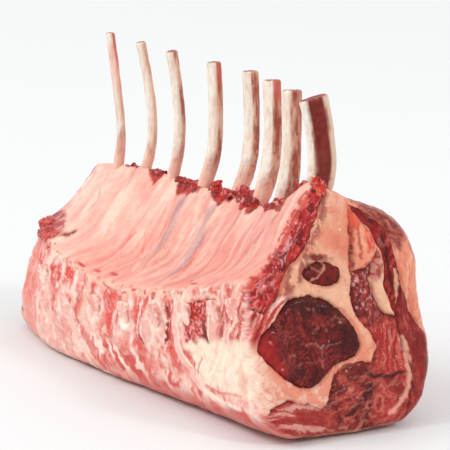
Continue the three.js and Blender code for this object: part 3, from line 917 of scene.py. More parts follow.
def stroke(points, path, width, soft=0.6, taper=0):
    """1 on a painted line and 0 off it; taper thins it towards its end."""
    line = resample(catmull(path), 1.5) if len(path) > 2 else np.asarray(path, float)
    gap, where = nearest_on(points, line)
    half = width / 2 * (1 - taper * where / max(1, len(line) - 1))
    return 1 - ramp(gap, half - soft / 2, half + soft / 2)


def patch(points, outline, soft=1):
    """1 inside a painted outline and 0 outside it."""
    loop = resample(catmull(outline, closed=True, power=0.5), 1.5, closed=True)
    gap, _ = nearest_on(points, loop, closed=True)
    return ramp(np.where(is_inside(points, loop), gap, -gap), -soft, soft)


def spot(points, centre, size, soft=0.35, turn=0):
    """1 on an oval of the given half sizes, turned anticlockwise."""
    c, s = math.cos(turn), math.sin(turn)
    off = points - centre
    u = (off[:, 0] * c + off[:, 1] * s) / size[0]
    v = (off[:, 1] * c - off[:, 0] * s) / size[1]
    return 1 - ramp(np.hypot(u, v), 1 - soft, 1 + soft)


def turned(points, angle):
    """2-D points in axes turned by the angle, so that stretched noise follows it."""
    c, s = math.cos(angle), math.sin(angle)
    return np.column_stack([points[:, 0] * c + points[:, 1] * s,
                            points[:, 1] * c - points[:, 0] * s])


def veins(points, size, seed, width=0.08, stretch=(1, 1)):
    """Thin branching lines where layered noise crosses zero."""
    value = fbm(points / np.array(stretch), size, 3, seed)
    return 1 - ramp(np.abs(value), width * 0.4, width)


def to_near_cut(points):
    """How many millimetres of the rack are left between points and the near cut."""
    return place(points[:, 1], points[:, 2], np.ones(len(points)))[:, 0] - points[:, 0]


# where the bones are sawn through on the chine side, as (x, z)
SAWN_ENDS = [tuple(bone_path(i, 4)[0, [0, 2]]) for i in range(RIB_COUNT)]
RED_BETWEEN = [0.55, 0.7, 0.35, 0.45, 0.9, 0.95, 0.5, 0.3]


def hanging_meat(paint, mask, points, lift):
    """Paints the lumpy red meat that hangs over the far end of the shelf."""
    paint.over(mask, (0.5, 0.05, 0.04), 0.85, 0.9, lift)
    paint.over(0.8 * mask * ramp(fbm(points, 4.5, 3, 4), 0, 0.3), (0.8, 0.3, 0.25), lift=0.5)
    paint.over(0.8 * mask * ramp(-fbm(points, 5, 3, 6), 0.1, 0.4), DEEP_RED, lift=-0.6)


def paint_chine(xz):
    """The sawn chine side: pale bone and fat, red between the ribs, streaks along the foot."""
    q = ragged(xz, 6, 1.8, 1)
    x, z = q.T
    upright = turned(ragged(xz, 9, 2, 3), 0.12)
    wide = fbm(upright, (7, 13), 3, 2)
    narrow = fbm(upright, (2.6, 7), 3, 4)
    high = ramp(z, 14, 26)
    far = 1 - ramp(x, -80, 10)
    paint = Paint(len(xz), PALE, 0.5, 0.6)
    paint.over(0.8 * ramp(fbm(q, 7, 3, 4), -0.05, 0.3), CHALK, lift=0.4)
    paint.over(0.85 * high * ramp(wide, -0.15, 0.2), ROSE)
    paint.over(0.85 * high * ramp(wide + 0.6 * narrow, 0.12, 0.42), BLOOD, 0.7, lift=-0.6)
    mid = ramp(x, -35, 10) * high
    paint.over(0.55 * mid * ramp(wide + 0.4 * narrow, -0.25, 0.15), (0.74, 0.15, 0.125), 0.6, lift=-0.3)
    paint.over(0.65 * ramp(-narrow - 0.4 * wide, 0.2, 0.45), CHALK, lift=0.5)
    paint.over(0.5 * mid * ramp(narrow - 0.3 * wide, 0.3, 0.5), (0.5, 0.03, 0.025), 0.9, lift=-0.6)
    blots = fbm(turned(xz, 0.15), (4.5, 7.5), 3, 6)
    top = ramp(z, 26, 40) * far
    paint.over((0.25 + 0.75 * top) * ramp(blots, -0.05, 0.2), BLOOD, 0.7, lift=-0.4)
    paint.over(0.9 * top * ramp(blots, 0.12, 0.34), BRIGHT_RED, 0.9, lift=-0.4)
    paint.over(0.75 * top * ramp(-blots, 0.1, 0.35), CHALK, lift=0.5)
    paint.over(0.7 * top * veins(q, 8, 2, 0.07, (0.8, 1.6)), CHALK, lift=0.4)
    paint.over(0.6 * veins(q, 12, 5, 0.05, (0.8, 1.7)), CHALK, lift=0.3)
    clean = patch(q, [[-84, 26], [-60, 33], [-28, 31], [-30, 13], [-60, 12], [-86, 14]], 6)
    paint.over(0.85 * clean, PALE)
    paint.over(0.7 * clean * ramp(fbm(q, 6, 3, 0), 0, 0.4), CHALK)
    paint.over(0.5 * clean * ramp(fbm(q, 3.5, 3, 3), 0.15, 0.4), ROSE)
    # sawn bone with a chalky rim, and red meat upright between two of them
    for k, (cx, cz) in enumerate(SAWN_ENDS):
        oval = ragged(xz, 4, 1, k % 5)
        cell = spot(oval, (cx, cz), (4.6, 5.6), 0.2)
        rim = spot(oval, (cx, cz), (6.6, 8), 0.25) - cell
        broken = ramp(fbm(xz, 5, 2, k % 6), -0.35, 0.1)
        paint.over(0.6 * spot(q, (cx, cz - 3), (8.5, 14), 0.3), PALE, lift=0.4)
        paint.over(0.85 * np.clip(rim, 0, 1) * broken, CHALK, lift=0.4)
        paint.over(0.8 * cell, SAWN, 0.4)
        band = stroke(q, [[cx + 12, cz + 10], [cx + 12.5, cz], [cx + 14.5, cz - 13]], 7, 4)
        speckle = ramp(fbm(xz, (2.4, 5), 3, k % 5), -0.35, 0.05)
        paint.over(RED_BETWEEN[k] * band * speckle, BLOOD, 0.8, 0.8, -0.7)
        dark = ramp(fbm(xz, (1.6, 3.4), 2, k % 5 + 2), 0.15, 0.35)
        paint.over(RED_BETWEEN[k] * band * dark, (0.45, 0.02, 0.015), 0.9, lift=-0.4)
    for cx, cz, half in ((30.2, 31.5, 4.4), (-19.8, 31, 3.2), (3, 29.5, 3.2)):
        cell = spot(ragged(xz, 4, 1, 3), (cx, cz), (half, half * 1.3), 0.25, 0.2)
        rim = spot(ragged(xz, 4, 1, 3), (cx, cz), (half + 1.7, half * 1.3 + 2), 0.3, 0.2) - cell
        paint.over(0.8 * np.clip(rim, 0, 1), CHALK, lift=0.4)
        paint.over(0.7 * cell, SAWN, lift=-0.3)
    paint.over(stroke(xz, [[2.6, 43], [2.9, 37], [2.4, 30]], 1.4, 1.2), BRIGHT_RED, 0.8)
    paint.over(stroke(xz, [[23.1, 45], [22, 37], [20.7, 28.6]], 1.1, 0.9), CHALK)
    paint.over(stroke(xz, [[22, 29], [25, 27.4], [27.9, 25]], 1.1, 0.8), DEEP_RED)
    paint.over(spot(xz, (31.7, 48.8), (1.9, 1.5), 0.3, 0.6), DEEP_RED, 0.9)
    paint.over(spot(xz, (10.1, 31.8), (3.6, 4.2), 0.4), CHALK)
    beads = stroke(q, [[46, 46.5], [46.6, 38], [45.7, 29.5]], 3.6, 1.6)
    paint.over(beads * ramp(fbm(xz, 2.1, 2, 3), -0.12, 0.14), DEEP_RED, 0.9)
    paint.over(0.9 * stroke(xz, [[-28.2, 50], [-28, 38], [-28.8, 24]], 4.2, 2.2), CREAM)
    paint.over(0.9 * stroke(xz, [[-23.2, 46], [-23.6, 38]], 1.6, 1.4), RED)
    # the foot: red and cream streaks that slant down towards the near end
    low = 1 - ramp(z, 14, 25 - 8 * ramp(x, 30, 60))
    run = ramp(x, -75, 0)
    slanted = turned(ragged(xz, 11, 4.5, 5), -0.8)
    streaks = fbm(slanted, (19, 5.5), 3, 1)
    paint.over(0.9 * low * run * ramp(streaks, -0.35, -0.05), (0.72, 0.13, 0.11), 0.6, lift=-0.3)
    paint.over(0.9 * low * run * ramp(streaks, 0.02, 0.2), (0.62, 0.075, 0.06), 0.7, lift=-0.3)
    paint.over(0.85 * low * run * ramp(-streaks, 0.12, 0.3), CHALK, lift=0.6)
    thin = fbm(slanted, (12, 2), 2, 6)
    paint.over(0.6 * low * run * ramp(thin, 0.2, 0.4), PALE, lift=0.3)
    foot = 1 - ramp(z, 4, 12)
    paint.over(0.7 * foot * ramp(x, -40, 50), (0.64, 0.1, 0.08), 0.6)
    paint.over(0.7 * foot * ramp(fbm(turned(q, -0.3), (13, 3), 3, 2), 0.05, 0.35), PALE)
    paint.over(0.55 * (1 - ramp(z, 7, 20)) * ramp(x + 5 * wide, 0, 40), (0.66, 0.13, 0.105), 0.6)
    paint.over(0.65 * (1 - ramp(x + 16 * blots, -92, -70)), (0.79, 0.2, 0.155), 0.6)
    # the near end: speckled meat under the shelf, a gash, gristle and the big fat patch
    meat = patch(q, [[62, 52], [78, 57], [88, 60], [87, 40], [80, 31], [66, 33]], 1.2)
    grains = fbm(xz, 1.5, 2, 7)
    paint.over(meat, (0.56, 0.05, 0.045), 0.8, 1, -0.5)
    meat_lumps = fbm(turned(xz, 0.2), (2.2, 4.5), 2, 2)
    paint.over(0.6 * meat * ramp(meat_lumps, 0, 0.3), (0.72, 0.12, 0.1), lift=0.5)
    paint.over(0.8 * meat * ramp(grains, 0.2, 0.45), (0.86, 0.4, 0.36))
    paint.over(meat * ramp(-grains, 0.15, 0.4), DEEP_RED)
    ridge_band = [[57, 56], [54.4, 47], [54.1, 39.2], [57.5, 30.4], [66, 23.5], [78, 15.5], [96, 12]]
    paint.over(stroke(xz, ridge_band, 4.6, 1.2), PALE, 0.5, 0.2)
    paint.over(0.8 * stroke(xz, [[p[0] + 2.2, p[1] + 0.8] for p in ridge_band], 1.4, 1), CHALK)
    slab = patch(xz, [[82.5, 51], [87, 53], [93, 52], [93, 38], [88, 35], [84, 37]], 0.8)
    paint.over(slab, (0.82, 0.42, 0.34), 0.4, 0.2, 0.5)
    paint.over(0.8 * stroke(xz, [[83.8, 50], [84.4, 42], [86, 36]], 1.2, 0.9), CHALK)
    gash = stroke(xz, [[79.5, 46.5], [81.5, 41], [85, 37.2], [88.6, 34]], 3.4, 1)
    paint.over(gash, DEEP_RED, 0.95, 0.5, -2.2)
    # painted shade deep in the gash
    paint.over(stroke(xz, [[81.5, 43], [84, 39], [88, 34.8]], 1.5, 0.8), BLACKISH, 0.9)
    right = patch(q, [[93, 56], [106, 68], [116, 74], [120, 50], [112, 41], [95, 42]], 2.5)
    strands = fbm(turned(xz, -0.35), (1.6, 9), 3, 3)
    paint.over(right, (0.84, 0.37, 0.31))
    paint.over(0.85 * right * ramp(strands, -0.05, 0.2), (0.66, 0.13, 0.105), 0.7, lift=-0.5)
    paint.over(0.6 * right * ramp(strands, 0.25, 0.45), DEEP_RED, 0.8, lift=-0.3)
    paint.over(0.6 * right * ramp(-strands, 0.15, 0.4), CHALK, lift=0.4)
    paint.over(0.9 * stroke(q, [[101.1, 66], [100.8, 60], [99.5, 52]], 5, 2.2)
               * ramp(fbm(xz, (1.8, 4), 2, 5), -0.25, 0.2), RED, 0.9)
    paint.over(0.9 * stroke(xz, [[112, 76], [107.6, 64.2], [110, 55]], 3.2, 1.2), CREAM)
    fat = patch(q, [[65, 33], [71, 27], [78, 21.5], [95, 19], [114, 19], [129, 24], [124, 45],
                    [98, 41]], 1.6)
    paint.over(fat, (0.92, 0.74, 0.58), 0.35, 0.15, 0.5)
    paint.over(0.5 * fat * ramp(fbm(turned(xz, 1.2), (14, 3), 3, 4), 0.15, 0.5), PALE)
    paint.over(0.6 * patch(q, [[112, 33], [118, 34], [119, 21], [113, 20]], 2), PEACH)
    for path in ([[77.6, 29], [76, 25.5], [75.2, 22]], [[71.5, 26], [73, 20.5]]):
        paint.over(stroke(xz, path, 0.9, 0.8), RED)
    paint.over(0.8 * stroke(xz, [[84, 18], [95, 16.8], [104, 18.8], [115, 20]], 0.8, 0.8), STREAK)
    paint.over(0.8 * stroke(xz, [[80, 14.5], [96, 12.5], [114, 14.2]], 2.4, 1.4), CHALK)
    hanging_meat(paint, spot(q, (-104, 57), (17, 9), 0.25), xz, 2.6)
    # the lip under the shelf
    lip = stroke(q, [[-66, 53], [-34, 48.5], [-5, 45], [35, 51], [60, 54.8], [83, 61], [102, 70.5]],
                 3.4, 2.4)
    paint.over(0.75 * lip * ramp(x, -64, -40), CREAM, 0.5, lift=0.6)
    nicks = ramp(fbm(xz, (4, 2), 2, 3), 0.25, 0.42)
    paint.over(0.85 * lip * nicks, RED, 0.8, lift=-0.4)
    return paint


# lines on the membrane as (place over the rib lines, share of the way down), then the width at the
# top and at the bottom, the strength and the colour
MEMBRANE_LINES = (
    ([(-101.5, 0.12), (-91, 0.32), (-85, 0.43), (-86, 0.55), (-88, 0.62)], 2.6, 1.2, 0.5, "mauve"),
    ([(-73, 0.05), (-67, 0.16), (-62, 0.3)], 4.2, 2, 0.4, "mauve"),
    ([(-17.5, 0.09), (-14, 0.27), (-10.7, 0.44), (-10.5, 0.58), (-13.5, 0.68), (-12, 0.8)],
     8, 4, 1, "mauve"),
    ([(-9, 0.48), (-9, 0.6), (-11, 0.7), (-10, 0.8)], 1.2, 1.8, 0.8, "rust"),
    ([(7.2, 0.07), (13.8, 0.3), (17.5, 0.43), (18.6, 0.58), (18, 0.72), (12, 0.83), (2, 0.93)],
     10, 3.4, 1, "mauve"),
    ([(21, 0.52), (22.2, 0.6), (22.2, 0.67), (21, 0.79), (15, 0.88)], 1.4, 1.8, 0.9, "rust"),
    ([(34, 0.05), (40.7, 0.27), (41.2, 0.46), (41.6, 0.59), (36, 0.73), (30, 0.85), (16, 0.98)],
     4, 4.4, 0.9, "rose"),
    ([(88, 0.2), (79.3, 0.35), (73, 0.52), (69.4, 0.65), (66, 0.81), (58, 0.95)],
     4.6, 4, 0.85, "rose"),
    ([(60, 0.1), (58, 0.3), (54, 0.55), (49, 0.75), (38, 0.92)], 2, 2.4, 0.5, "rose"),
    ([(9, 0.3), (7, 0.41), (6, 0.56), (3, 0.68), (-6, 0.82)], 1.4, 2, 0.6, "rose"),
    ([(-2, 0.15), (0, 0.3), (-1, 0.5), (-4, 0.7), (-14, 0.86)], 1.2, 1.6, 0.5, "rose"),
    ([(28, 0.1), (30, 0.3), (30, 0.55), (26, 0.75), (14, 0.9)], 1.4, 1.8, 0.45, "rose"),
    ([(-35, 0.48), (-38, 0.58), (-39, 0.7)], 1.4, 0.8, 0.7, "streak"),
    ([(-27, 0.42), (-27.5, 0.54), (-24, 0.68)], 1, 1, 0.8, "streak"),
    ([(-18, 0.33), (-17, 0.4), (-16, 0.52)], 2.4, 1.2, 0.55, "streak"),
    ([(-60, 0.52), (-58, 0.6), (-60, 0.7)], 1, 0.8, 0.5, "streak"),
    ([(36, 0.6), (33, 0.7), (26, 0.82)], 1, 1.2, 0.5, "streak"),
    ([(62, 0.5), (60, 0.62), (56, 0.76)], 0.9, 1, 0.5, "streak"),
    ([(84, 0.4), (80, 0.55), (77, 0.7)], 0.9, 1, 0.45, "streak"),
)
MEMBRANE_COLOURS = {
    "mauve": (0.5, 0.24, 0.245), "rose": (0.64, 0.21, 0.18), "streak": (0.74, 0.15, 0.1),
    "rust": (0.72, 0.13, 0.07),
}
# torn red openings under the crest, as outlines over the rib lines and millimetres down
POCKETS = (
    [(-84, -3), (-67, -3), (-69, 2.2), (-75, 1.4), (-81, 2.6)],
    [(-58, -3), (-43, -3), (-44.5, 4), (-46.5, 8), (-51, 5.5), (-56, 2.5)],
    [(-28, -3), (-7, -3), (-9, 4), (-14, 7), (-19, 6), (-24, 9), (-27, 4)],
    [(3, -3), (25, -3), (22, 4), (18, 5), (14, 9), (9, 5.5), (5, 3)],
    [(29, -3), (53, -3), (51, 4), (47, 9), (41, 5), (35, 6.5), (31, 3)],
    [(60, -3), (86, -3), (85, 7), (87, 15), (80, 10), (72, 6), (64, 5)],
)


def paint_pleura(points, down):
    """The membrane inside the ribs: cream over the ribs, mauve beside them partly as painted shade, a
    few red streaks.
    """
    x = points[:, 0]
    flat = np.column_stack([x - rib_slide(down), down * 75])
    sweep = np.column_stack([18 * ramp(down, 0.6, 1.1), np.zeros(len(x))])
    at = flat + sweep
    soft = ragged(flat, (11, 26, 1), 1.5, 2)
    broad = fbm(at, (13, 60), 2, 1)
    long = fbm(ragged(at, (14, 34, 1), 1.6, 4), (5.5, 60), 2, 0)
    thin = fbm(ragged(at, (9, 30, 1), 1.4, 5), (2.4, 50), 2, 3)
    clouds = fbm(points, 18, 2, 4)
    busy = mix(0.2, 1, ramp(x, -85, -15))
    phase = (flat[:, 0] - 3 - FIRST_RIB_X) / RIB_PITCH
    over_rib = 0.5 + 0.5 * np.cos(2 * np.pi * phase)
    paint = Paint(len(points), (0.86, 0.47, 0.375), 0.5, 0.1)
    paint.over(0.8 * ramp(over_rib + 0.5 * broad, 0.35, 1), (0.86, 0.6, 0.48))
    # darker pink between the ribs: partly the membrane's own colour, partly painted shade of the hollows
    paint.over(0.7 * ramp(0.45 - over_rib + 0.4 * broad, 0, 0.5) * busy, (0.78, 0.3, 0.245))
    paint.over(0.55 * ramp(-clouds, 0, 0.4), (0.84, 0.38, 0.31))
    paint.over(0.5 * ramp(clouds, 0.05, 0.45) * (1 - ramp(x, -20, 40)), (0.87, 0.6, 0.48))
    paint.over(0.7 * ramp(x, -30, 60) * ramp(down, 0.05, 0.5), (0.76, 0.29, 0.23))
    paint.over(0.6 * ramp(x, -70, 0) * ramp(down, 0.5, 0.95), (0.76, 0.27, 0.215))
    paint.over(0.5 * busy * ramp(long, 0.05, 0.4), (0.78, 0.26, 0.21), lift=-0.2)
    paint.over(0.5 * busy * ramp(-long, 0.1, 0.4), (0.87, 0.64, 0.53), lift=0.2)
    paint.over(0.5 * ramp(down, 0.35, 0.8) * ramp(x, -85, -20), (0.77, 0.275, 0.215))
    paint.over(0.35 * ramp(x, 15, 70), (0.78, 0.31, 0.25))
    for path, top, bottom, strength, colour in MEMBRANE_LINES:
        line = resample(catmull([(px, 75 * share) for px, share in path]), 1.5)
        gap, where = nearest_on(soft, line)
        t = where / max(1, len(line) - 1)
        half = mix(top, bottom, t) / 2
        ends = ramp(t, 0, 0.12) * (1 - ramp(t, 0.8, 1))
        # mauve bands beside the ribs: the membrane's own colour and painted shade on the far side of
        # each rib swell, with a pale band beside it
        if colour == "mauve":
            beside = stroke(soft + [1.1 * top, 0], [(px, 75 * share) for px, share in path], 3, 2.6)
            paint.over(0.45 * strength * beside, (0.88, 0.62, 0.5), lift=0.4)
        body = (1 - ramp(gap, half * 0.5, half * 1.5)) * ends
        paint.over(strength * body * (0.9 + 0.3 * long), MEMBRANE_COLOURS[colour], 0.6,
                   lift=-0.16 * min(top, 5))
    paint.over(0.34 * ramp(down, 0.1, 0.6) * busy * ramp(thin, 0.1, 0.45), (0.76, 0.18, 0.14),
               lift=-0.15)
    paint.over(0.3 * busy * ramp(-thin, 0.1, 0.45), CREAM, lift=0.15)
    # red meat between the bones under the crest
    torn = ragged(ragged(flat, 6, 1.6, 1), 2, 0.6, 3)
    for k, outline in enumerate(POCKETS):
        notch = patch(torn, outline, 0.9)
        paint.over(notch, (0.5, 0.03, 0.025), 0.9, 0.9, -1.8)
        paint.over(0.9 * notch * ramp(fbm(points, 3.4, 2, k), -0.1, 0.2), (0.17, 0.008, 0.008), 0.9,
                   lift=-0.9)
        paint.over(0.5 * notch * ramp(fbm(points, 2.4, 2, k + 2), 0.15, 0.4), BRIGHT_RED, 1)
    # torn red edge along the near cut
    left = to_near_cut(points)
    fringe = 1 - ramp(left + 3.4 * fbm(points, 5, 3, 3) + 2 * fbm(points, 1.8, 2, 6), 1.2, 2.6)
    paint.over(0.9 * fringe, (0.5, 0.025, 0.02), 0.95, 0.9, 0.4)
    paint.over(0.6 * (1 - ramp(left + 4 * fbm(points, 6, 2, 1), 2.5, 6)) * (1 - fringe), ROSE)
    # the far end: pale fat above, and a lump of red meat that hangs over the shelf's corner
    far = 1 - ramp(x + 5 * fbm(points, 8, 2, 4), -117, -101)
    high = far * ramp(down, 0.02, 0.1) * (1 - ramp(down, 0.5, 0.75))
    paint.over(0.8 * high, (0.86, 0.66, 0.56), 0.45, 0.2, 1)
    paint.over(0.6 * far * ramp(fbm(points, 6, 3, 2), 0.05, 0.35), (0.78, 0.22, 0.17), lift=-0.5)
    flat_low = ragged(np.column_stack([x, down * 60]), 5, 1.4, 2)
    hanging = spot(flat_low, (-103, 55), (24, 9), 0.22)
    hanging *= 1 - 0.9 * spot(flat_low, (-87, 47.5), (12, 2.4), 0.4, 0.1)
    hanging_meat(paint, hanging, points, 3.2)
    slit = [[-80, 52.5], [-75, 51.5], [-71, 49], [-70.5, 46]]
    paint.over(0.8 * stroke(flat_low, slit, 4.6, 3.4), (0.62, 0.16, 0.1), 0.7, lift=-0.8)
    # painted shade deep in the slit
    hollow = stroke(flat_low, slit[1:], 2.6, 2.2) * ramp(fbm(points, 2.4, 2, 3), -0.5, 0)
    paint.over(0.9 * hollow, (0.12, 0.012, 0.01), 0.7, 0.3, -1.8)
    lip = ramp(down, 0.93, 0.985) * ramp(x, -86, -74)
    paint.over(0.5 * lip, CREAM)
    paint.over(0.7 * lip * ramp(fbm(points, 3, 2, 5), 0.28, 0.5), STREAK, 0.7)
    for cx, cd in ((-41, 0.955), (-28, 0.93), (-15, 0.9), (52, 0.86), (60, 0.93)):
        paint.over(spot(np.column_stack([x, down * 70]), (cx, cd * 70), (3.2, 1), 0.5), RED, 0.8)
    return paint


def paint_back(points):
    """The outer side: a smooth cover of fat, thin in places, with lean showing along its foot."""
    xz = points[:, [0, 2]]
    z = points[:, 2]
    q = ragged(xz, 16, 6, 3)
    flow = turned(ragged(xz, 22, 5, 1), 0.16)
    paint = Paint(len(points), (0.82, 0.42, 0.315), 0.45, 0.3)
    paint.over(0.9 * ramp(fbm(flow, (60, 20), 3, 1), -0.2, 0.35), (0.84, 0.5, 0.39))
    paint.over(0.6 * ramp(fbm(flow, (26, 7), 3, 5), 0, 0.5), CHALK, lift=0.3)
    paint.over(0.5 * ramp(-fbm(flow, (18, 5), 3, 4), 0.1, 0.5), (0.76, 0.27, 0.2))
    thin = fbm(turned(q, 0.2), (60, 16), 3, 6)
    fibres = fbm(turned(ragged(xz, 12, 3, 2), 0.32), (26, 1.8), 3, 2)
    paint.over(0.75 * ramp(thin, 0.12, 0.42), (0.62, 0.2, 0.15), 0.6, 0.7)
    paint.over(0.55 * ramp(thin, 0.15, 0.4) * ramp(fibres, 0, 0.4), LEAN_PALE, lift=-0.3)
    paint.over(0.45 * ramp(thin, 0.2, 0.4) * ramp(-fibres, 0.15, 0.5), CREAM, lift=0.2)
    edge = z + 9 * fbm(xz, 34, 3, 0)
    low = 1 - ramp(edge + 5 * fbm(xz, 9, 3, 5), 16, 44)
    paint.over(0.9 * low, (0.44, 0.065, 0.05), 0.65, 0.9, -0.5)
    paint.over(0.7 * low * ramp(fibres, 0, 0.35), (0.26, 0.028, 0.022))
    paint.over(0.5 * low * ramp(-fibres, 0.1, 0.4), (0.62, 0.2, 0.16), lift=0.3)
    # brown-red meat along the top of the cap by the near cut
    left = to_near_cut(points)
    brown = 1 - ramp(left + 5 * fbm(points, 9, 2, 3), 6, 17)
    brown *= ramp(points[:, 1], -9, -6) * ramp(z + 3 * fbm(points, 6, 2, 1), 78, 90)
    paint.over(0.9 * brown, (0.32, 0.055, 0.042), 0.7, 0.9)
    pale = ramp(fbm(points, (7, 3, 3), 3, 2), 0.05, 0.35)
    paint.over(0.6 * brown * pale, (0.66, 0.33, 0.28), lift=0.5)
    paint.over(0.35 * veins(q, 30, 2, 0.025), STREAK)
    paint.over(0.4 * ramp(fbm(xz, 4, 3, 4), 0.32, 0.55), STREAK)
    return paint


def paint_crest(points):
    """The top between the bones: trimmed red meat with fat in it."""
    xy = points[:, :2]
    lumps = fbm(xy, 5, 3, 1)
    paint = Paint(len(points), RED, 0.9, 1)
    paint.lift += 1.4 * lumps + 0.6 * fbm(xy, 2.2, 2, 3)
    left = to_near_cut(points)
    near = 1 - ramp(left, 5, 18)
    paint.over(near * (1 - ramp(np.abs(points[:, 1] + 14.2), 2.4, 5)), lift=3)
    notch = near * (1 - ramp(np.abs(points[:, 1] + 20.8), 0.8, 2.2))
    paint.over(0.85 * ramp(-lumps, 0, 0.3), DEEP_RED, 0.9)
    paint.over(0.55 * ramp(fbm(xy, 8, 3, 6), 0.1, 0.45), SALMON)
    paint.over(0.5 * ramp(fbm(xy, 6, 3, 4), 0.25, 0.5), PEACH, 0.5, lift=0.5)
    fat = near * ramp(points[:, 1], -20.5, -18.5)
    paint.over(0.85 * fat, SALMON, 0.5, 0.3)
    paint.over(notch, (0.26, 0.012, 0.012), 0.95, 0.6, -2.6)
    return paint


def paint_under(points):
    """The side it lies on."""
    xy = points[:, :2]
    paint = Paint(len(points), (0.46, 0.1, 0.085), 0.5, 0.6)
    paint.over(0.8 * ramp(fbm(xy, (22, 8, 1), 3, 3), 0, 0.3), SALMON)
    paint.over(0.6 * ramp(fbm(xy, (9, 4, 1), 3, 5), 0.15, 0.4), CREAM)
    return paint


def paint_sides(paint, layer, chosen):
    """The paint of the outside surface, blended from seam to seam."""
    points, where = layer.verts, layer.where
    start, end = LOOP_SPANS["pleura"]
    down = np.clip(1 - (where - start) / (end - start), 0, 1)
    chine = np.clip(zone(where, "chine_low", 3) + zone(where, "chine_high", 2, 5), 0, 1)
    chine = np.maximum(chine, (points[:, 1] < -50) * (points[:, 2] < 16) * 1)
    back = np.clip(zone(where, "cap_outside", 5) + zone(where, "lower_outside", 7), 0, 1)
    crest = np.clip(zone(where, "strip_top", 1.5, 3) + zone(where, "column_top", 3, 2), 0, 1)
    under = np.ones(len(points))
    paint.lay(chosen, paint_under, under, points)
    paint.lay(chosen, paint_back, back, points)
    paint.lay(chosen, paint_crest, crest, points)
    paint.lay(chosen, paint_chine, chine, points[:, [0, 2]])
    paint.lay(chosen, paint_pleura, zone(where, "pleura", 1.2), points, down)


def paint_strip(yz):
    """The cut through the rib wall: wet dark red meat with painted glints along its middle."""
    run = turned(ragged(yz, 5, 1.6, 2), 0.92)
    fibres = fbm(run, (9, 1.5), 3, 1)
    lumps = fbm(run, (7, 3), 3, 4)
    paint = Paint(len(yz), (0.38, 0.012, 0.013), 1, 1)
    paint.over(0.9 * ramp(lumps, 0, 0.28), (0.15, 0.005, 0.007), lift=-0.8)
    paint.over(0.7 * ramp(fibres, 0.15, 0.4), (0.62, 0.035, 0.03), lift=0.5)
    paint.over(0.6 * ramp(-fibres, 0.25, 0.45), (0.14, 0.004, 0.005))
    paint.lift += 1.3 * lumps + 0.9 * fibres
    # painted highlights: pale glints along the middle and small pink glints scattered over the strip
    middle = stroke(ragged(yz, 4, 1, 3), [[-60, 70], [-50, 79], [-41, 91], [-34, 102]], 5, 4)
    glints = fbm(run, (9, 1.3), 2, 5)
    paint.over(0.75 * middle * ramp(glints, 0.1, 0.4), (0.82, 0.38, 0.37), 1)
    glint_speck = fbm(run, (2.2, 1), 2, 6)
    paint.over(0.6 * ramp(glint_speck, 0.3, 0.5), (0.74, 0.2, 0.18), 1, lift=0.3)
    low = 1 - ramp(yz[:, 0], -61, -54)
    fan = fbm(turned(ragged(yz, 5, 1.4, 6), 0.75), (8, 1.6), 3, 4)
    paint.over(0.8 * low * ramp(fan, -0.1, 0.15), (0.58, 0.035, 0.03), lift=0.5)
    paint.over(0.6 * low * ramp(fan, 0.25, 0.5), (0.8, 0.3, 0.27), lift=0.4)
    edge = stroke(ragged(yz, 3, 0.8, 5), [[-66, 71], [-56, 80], [-44, 91.5], [-34, 103.5], [-27, 113]],
                  1.6, 1.2)
    paint.over(0.8 * edge, (0.74, 0.09, 0.06))
    return paint


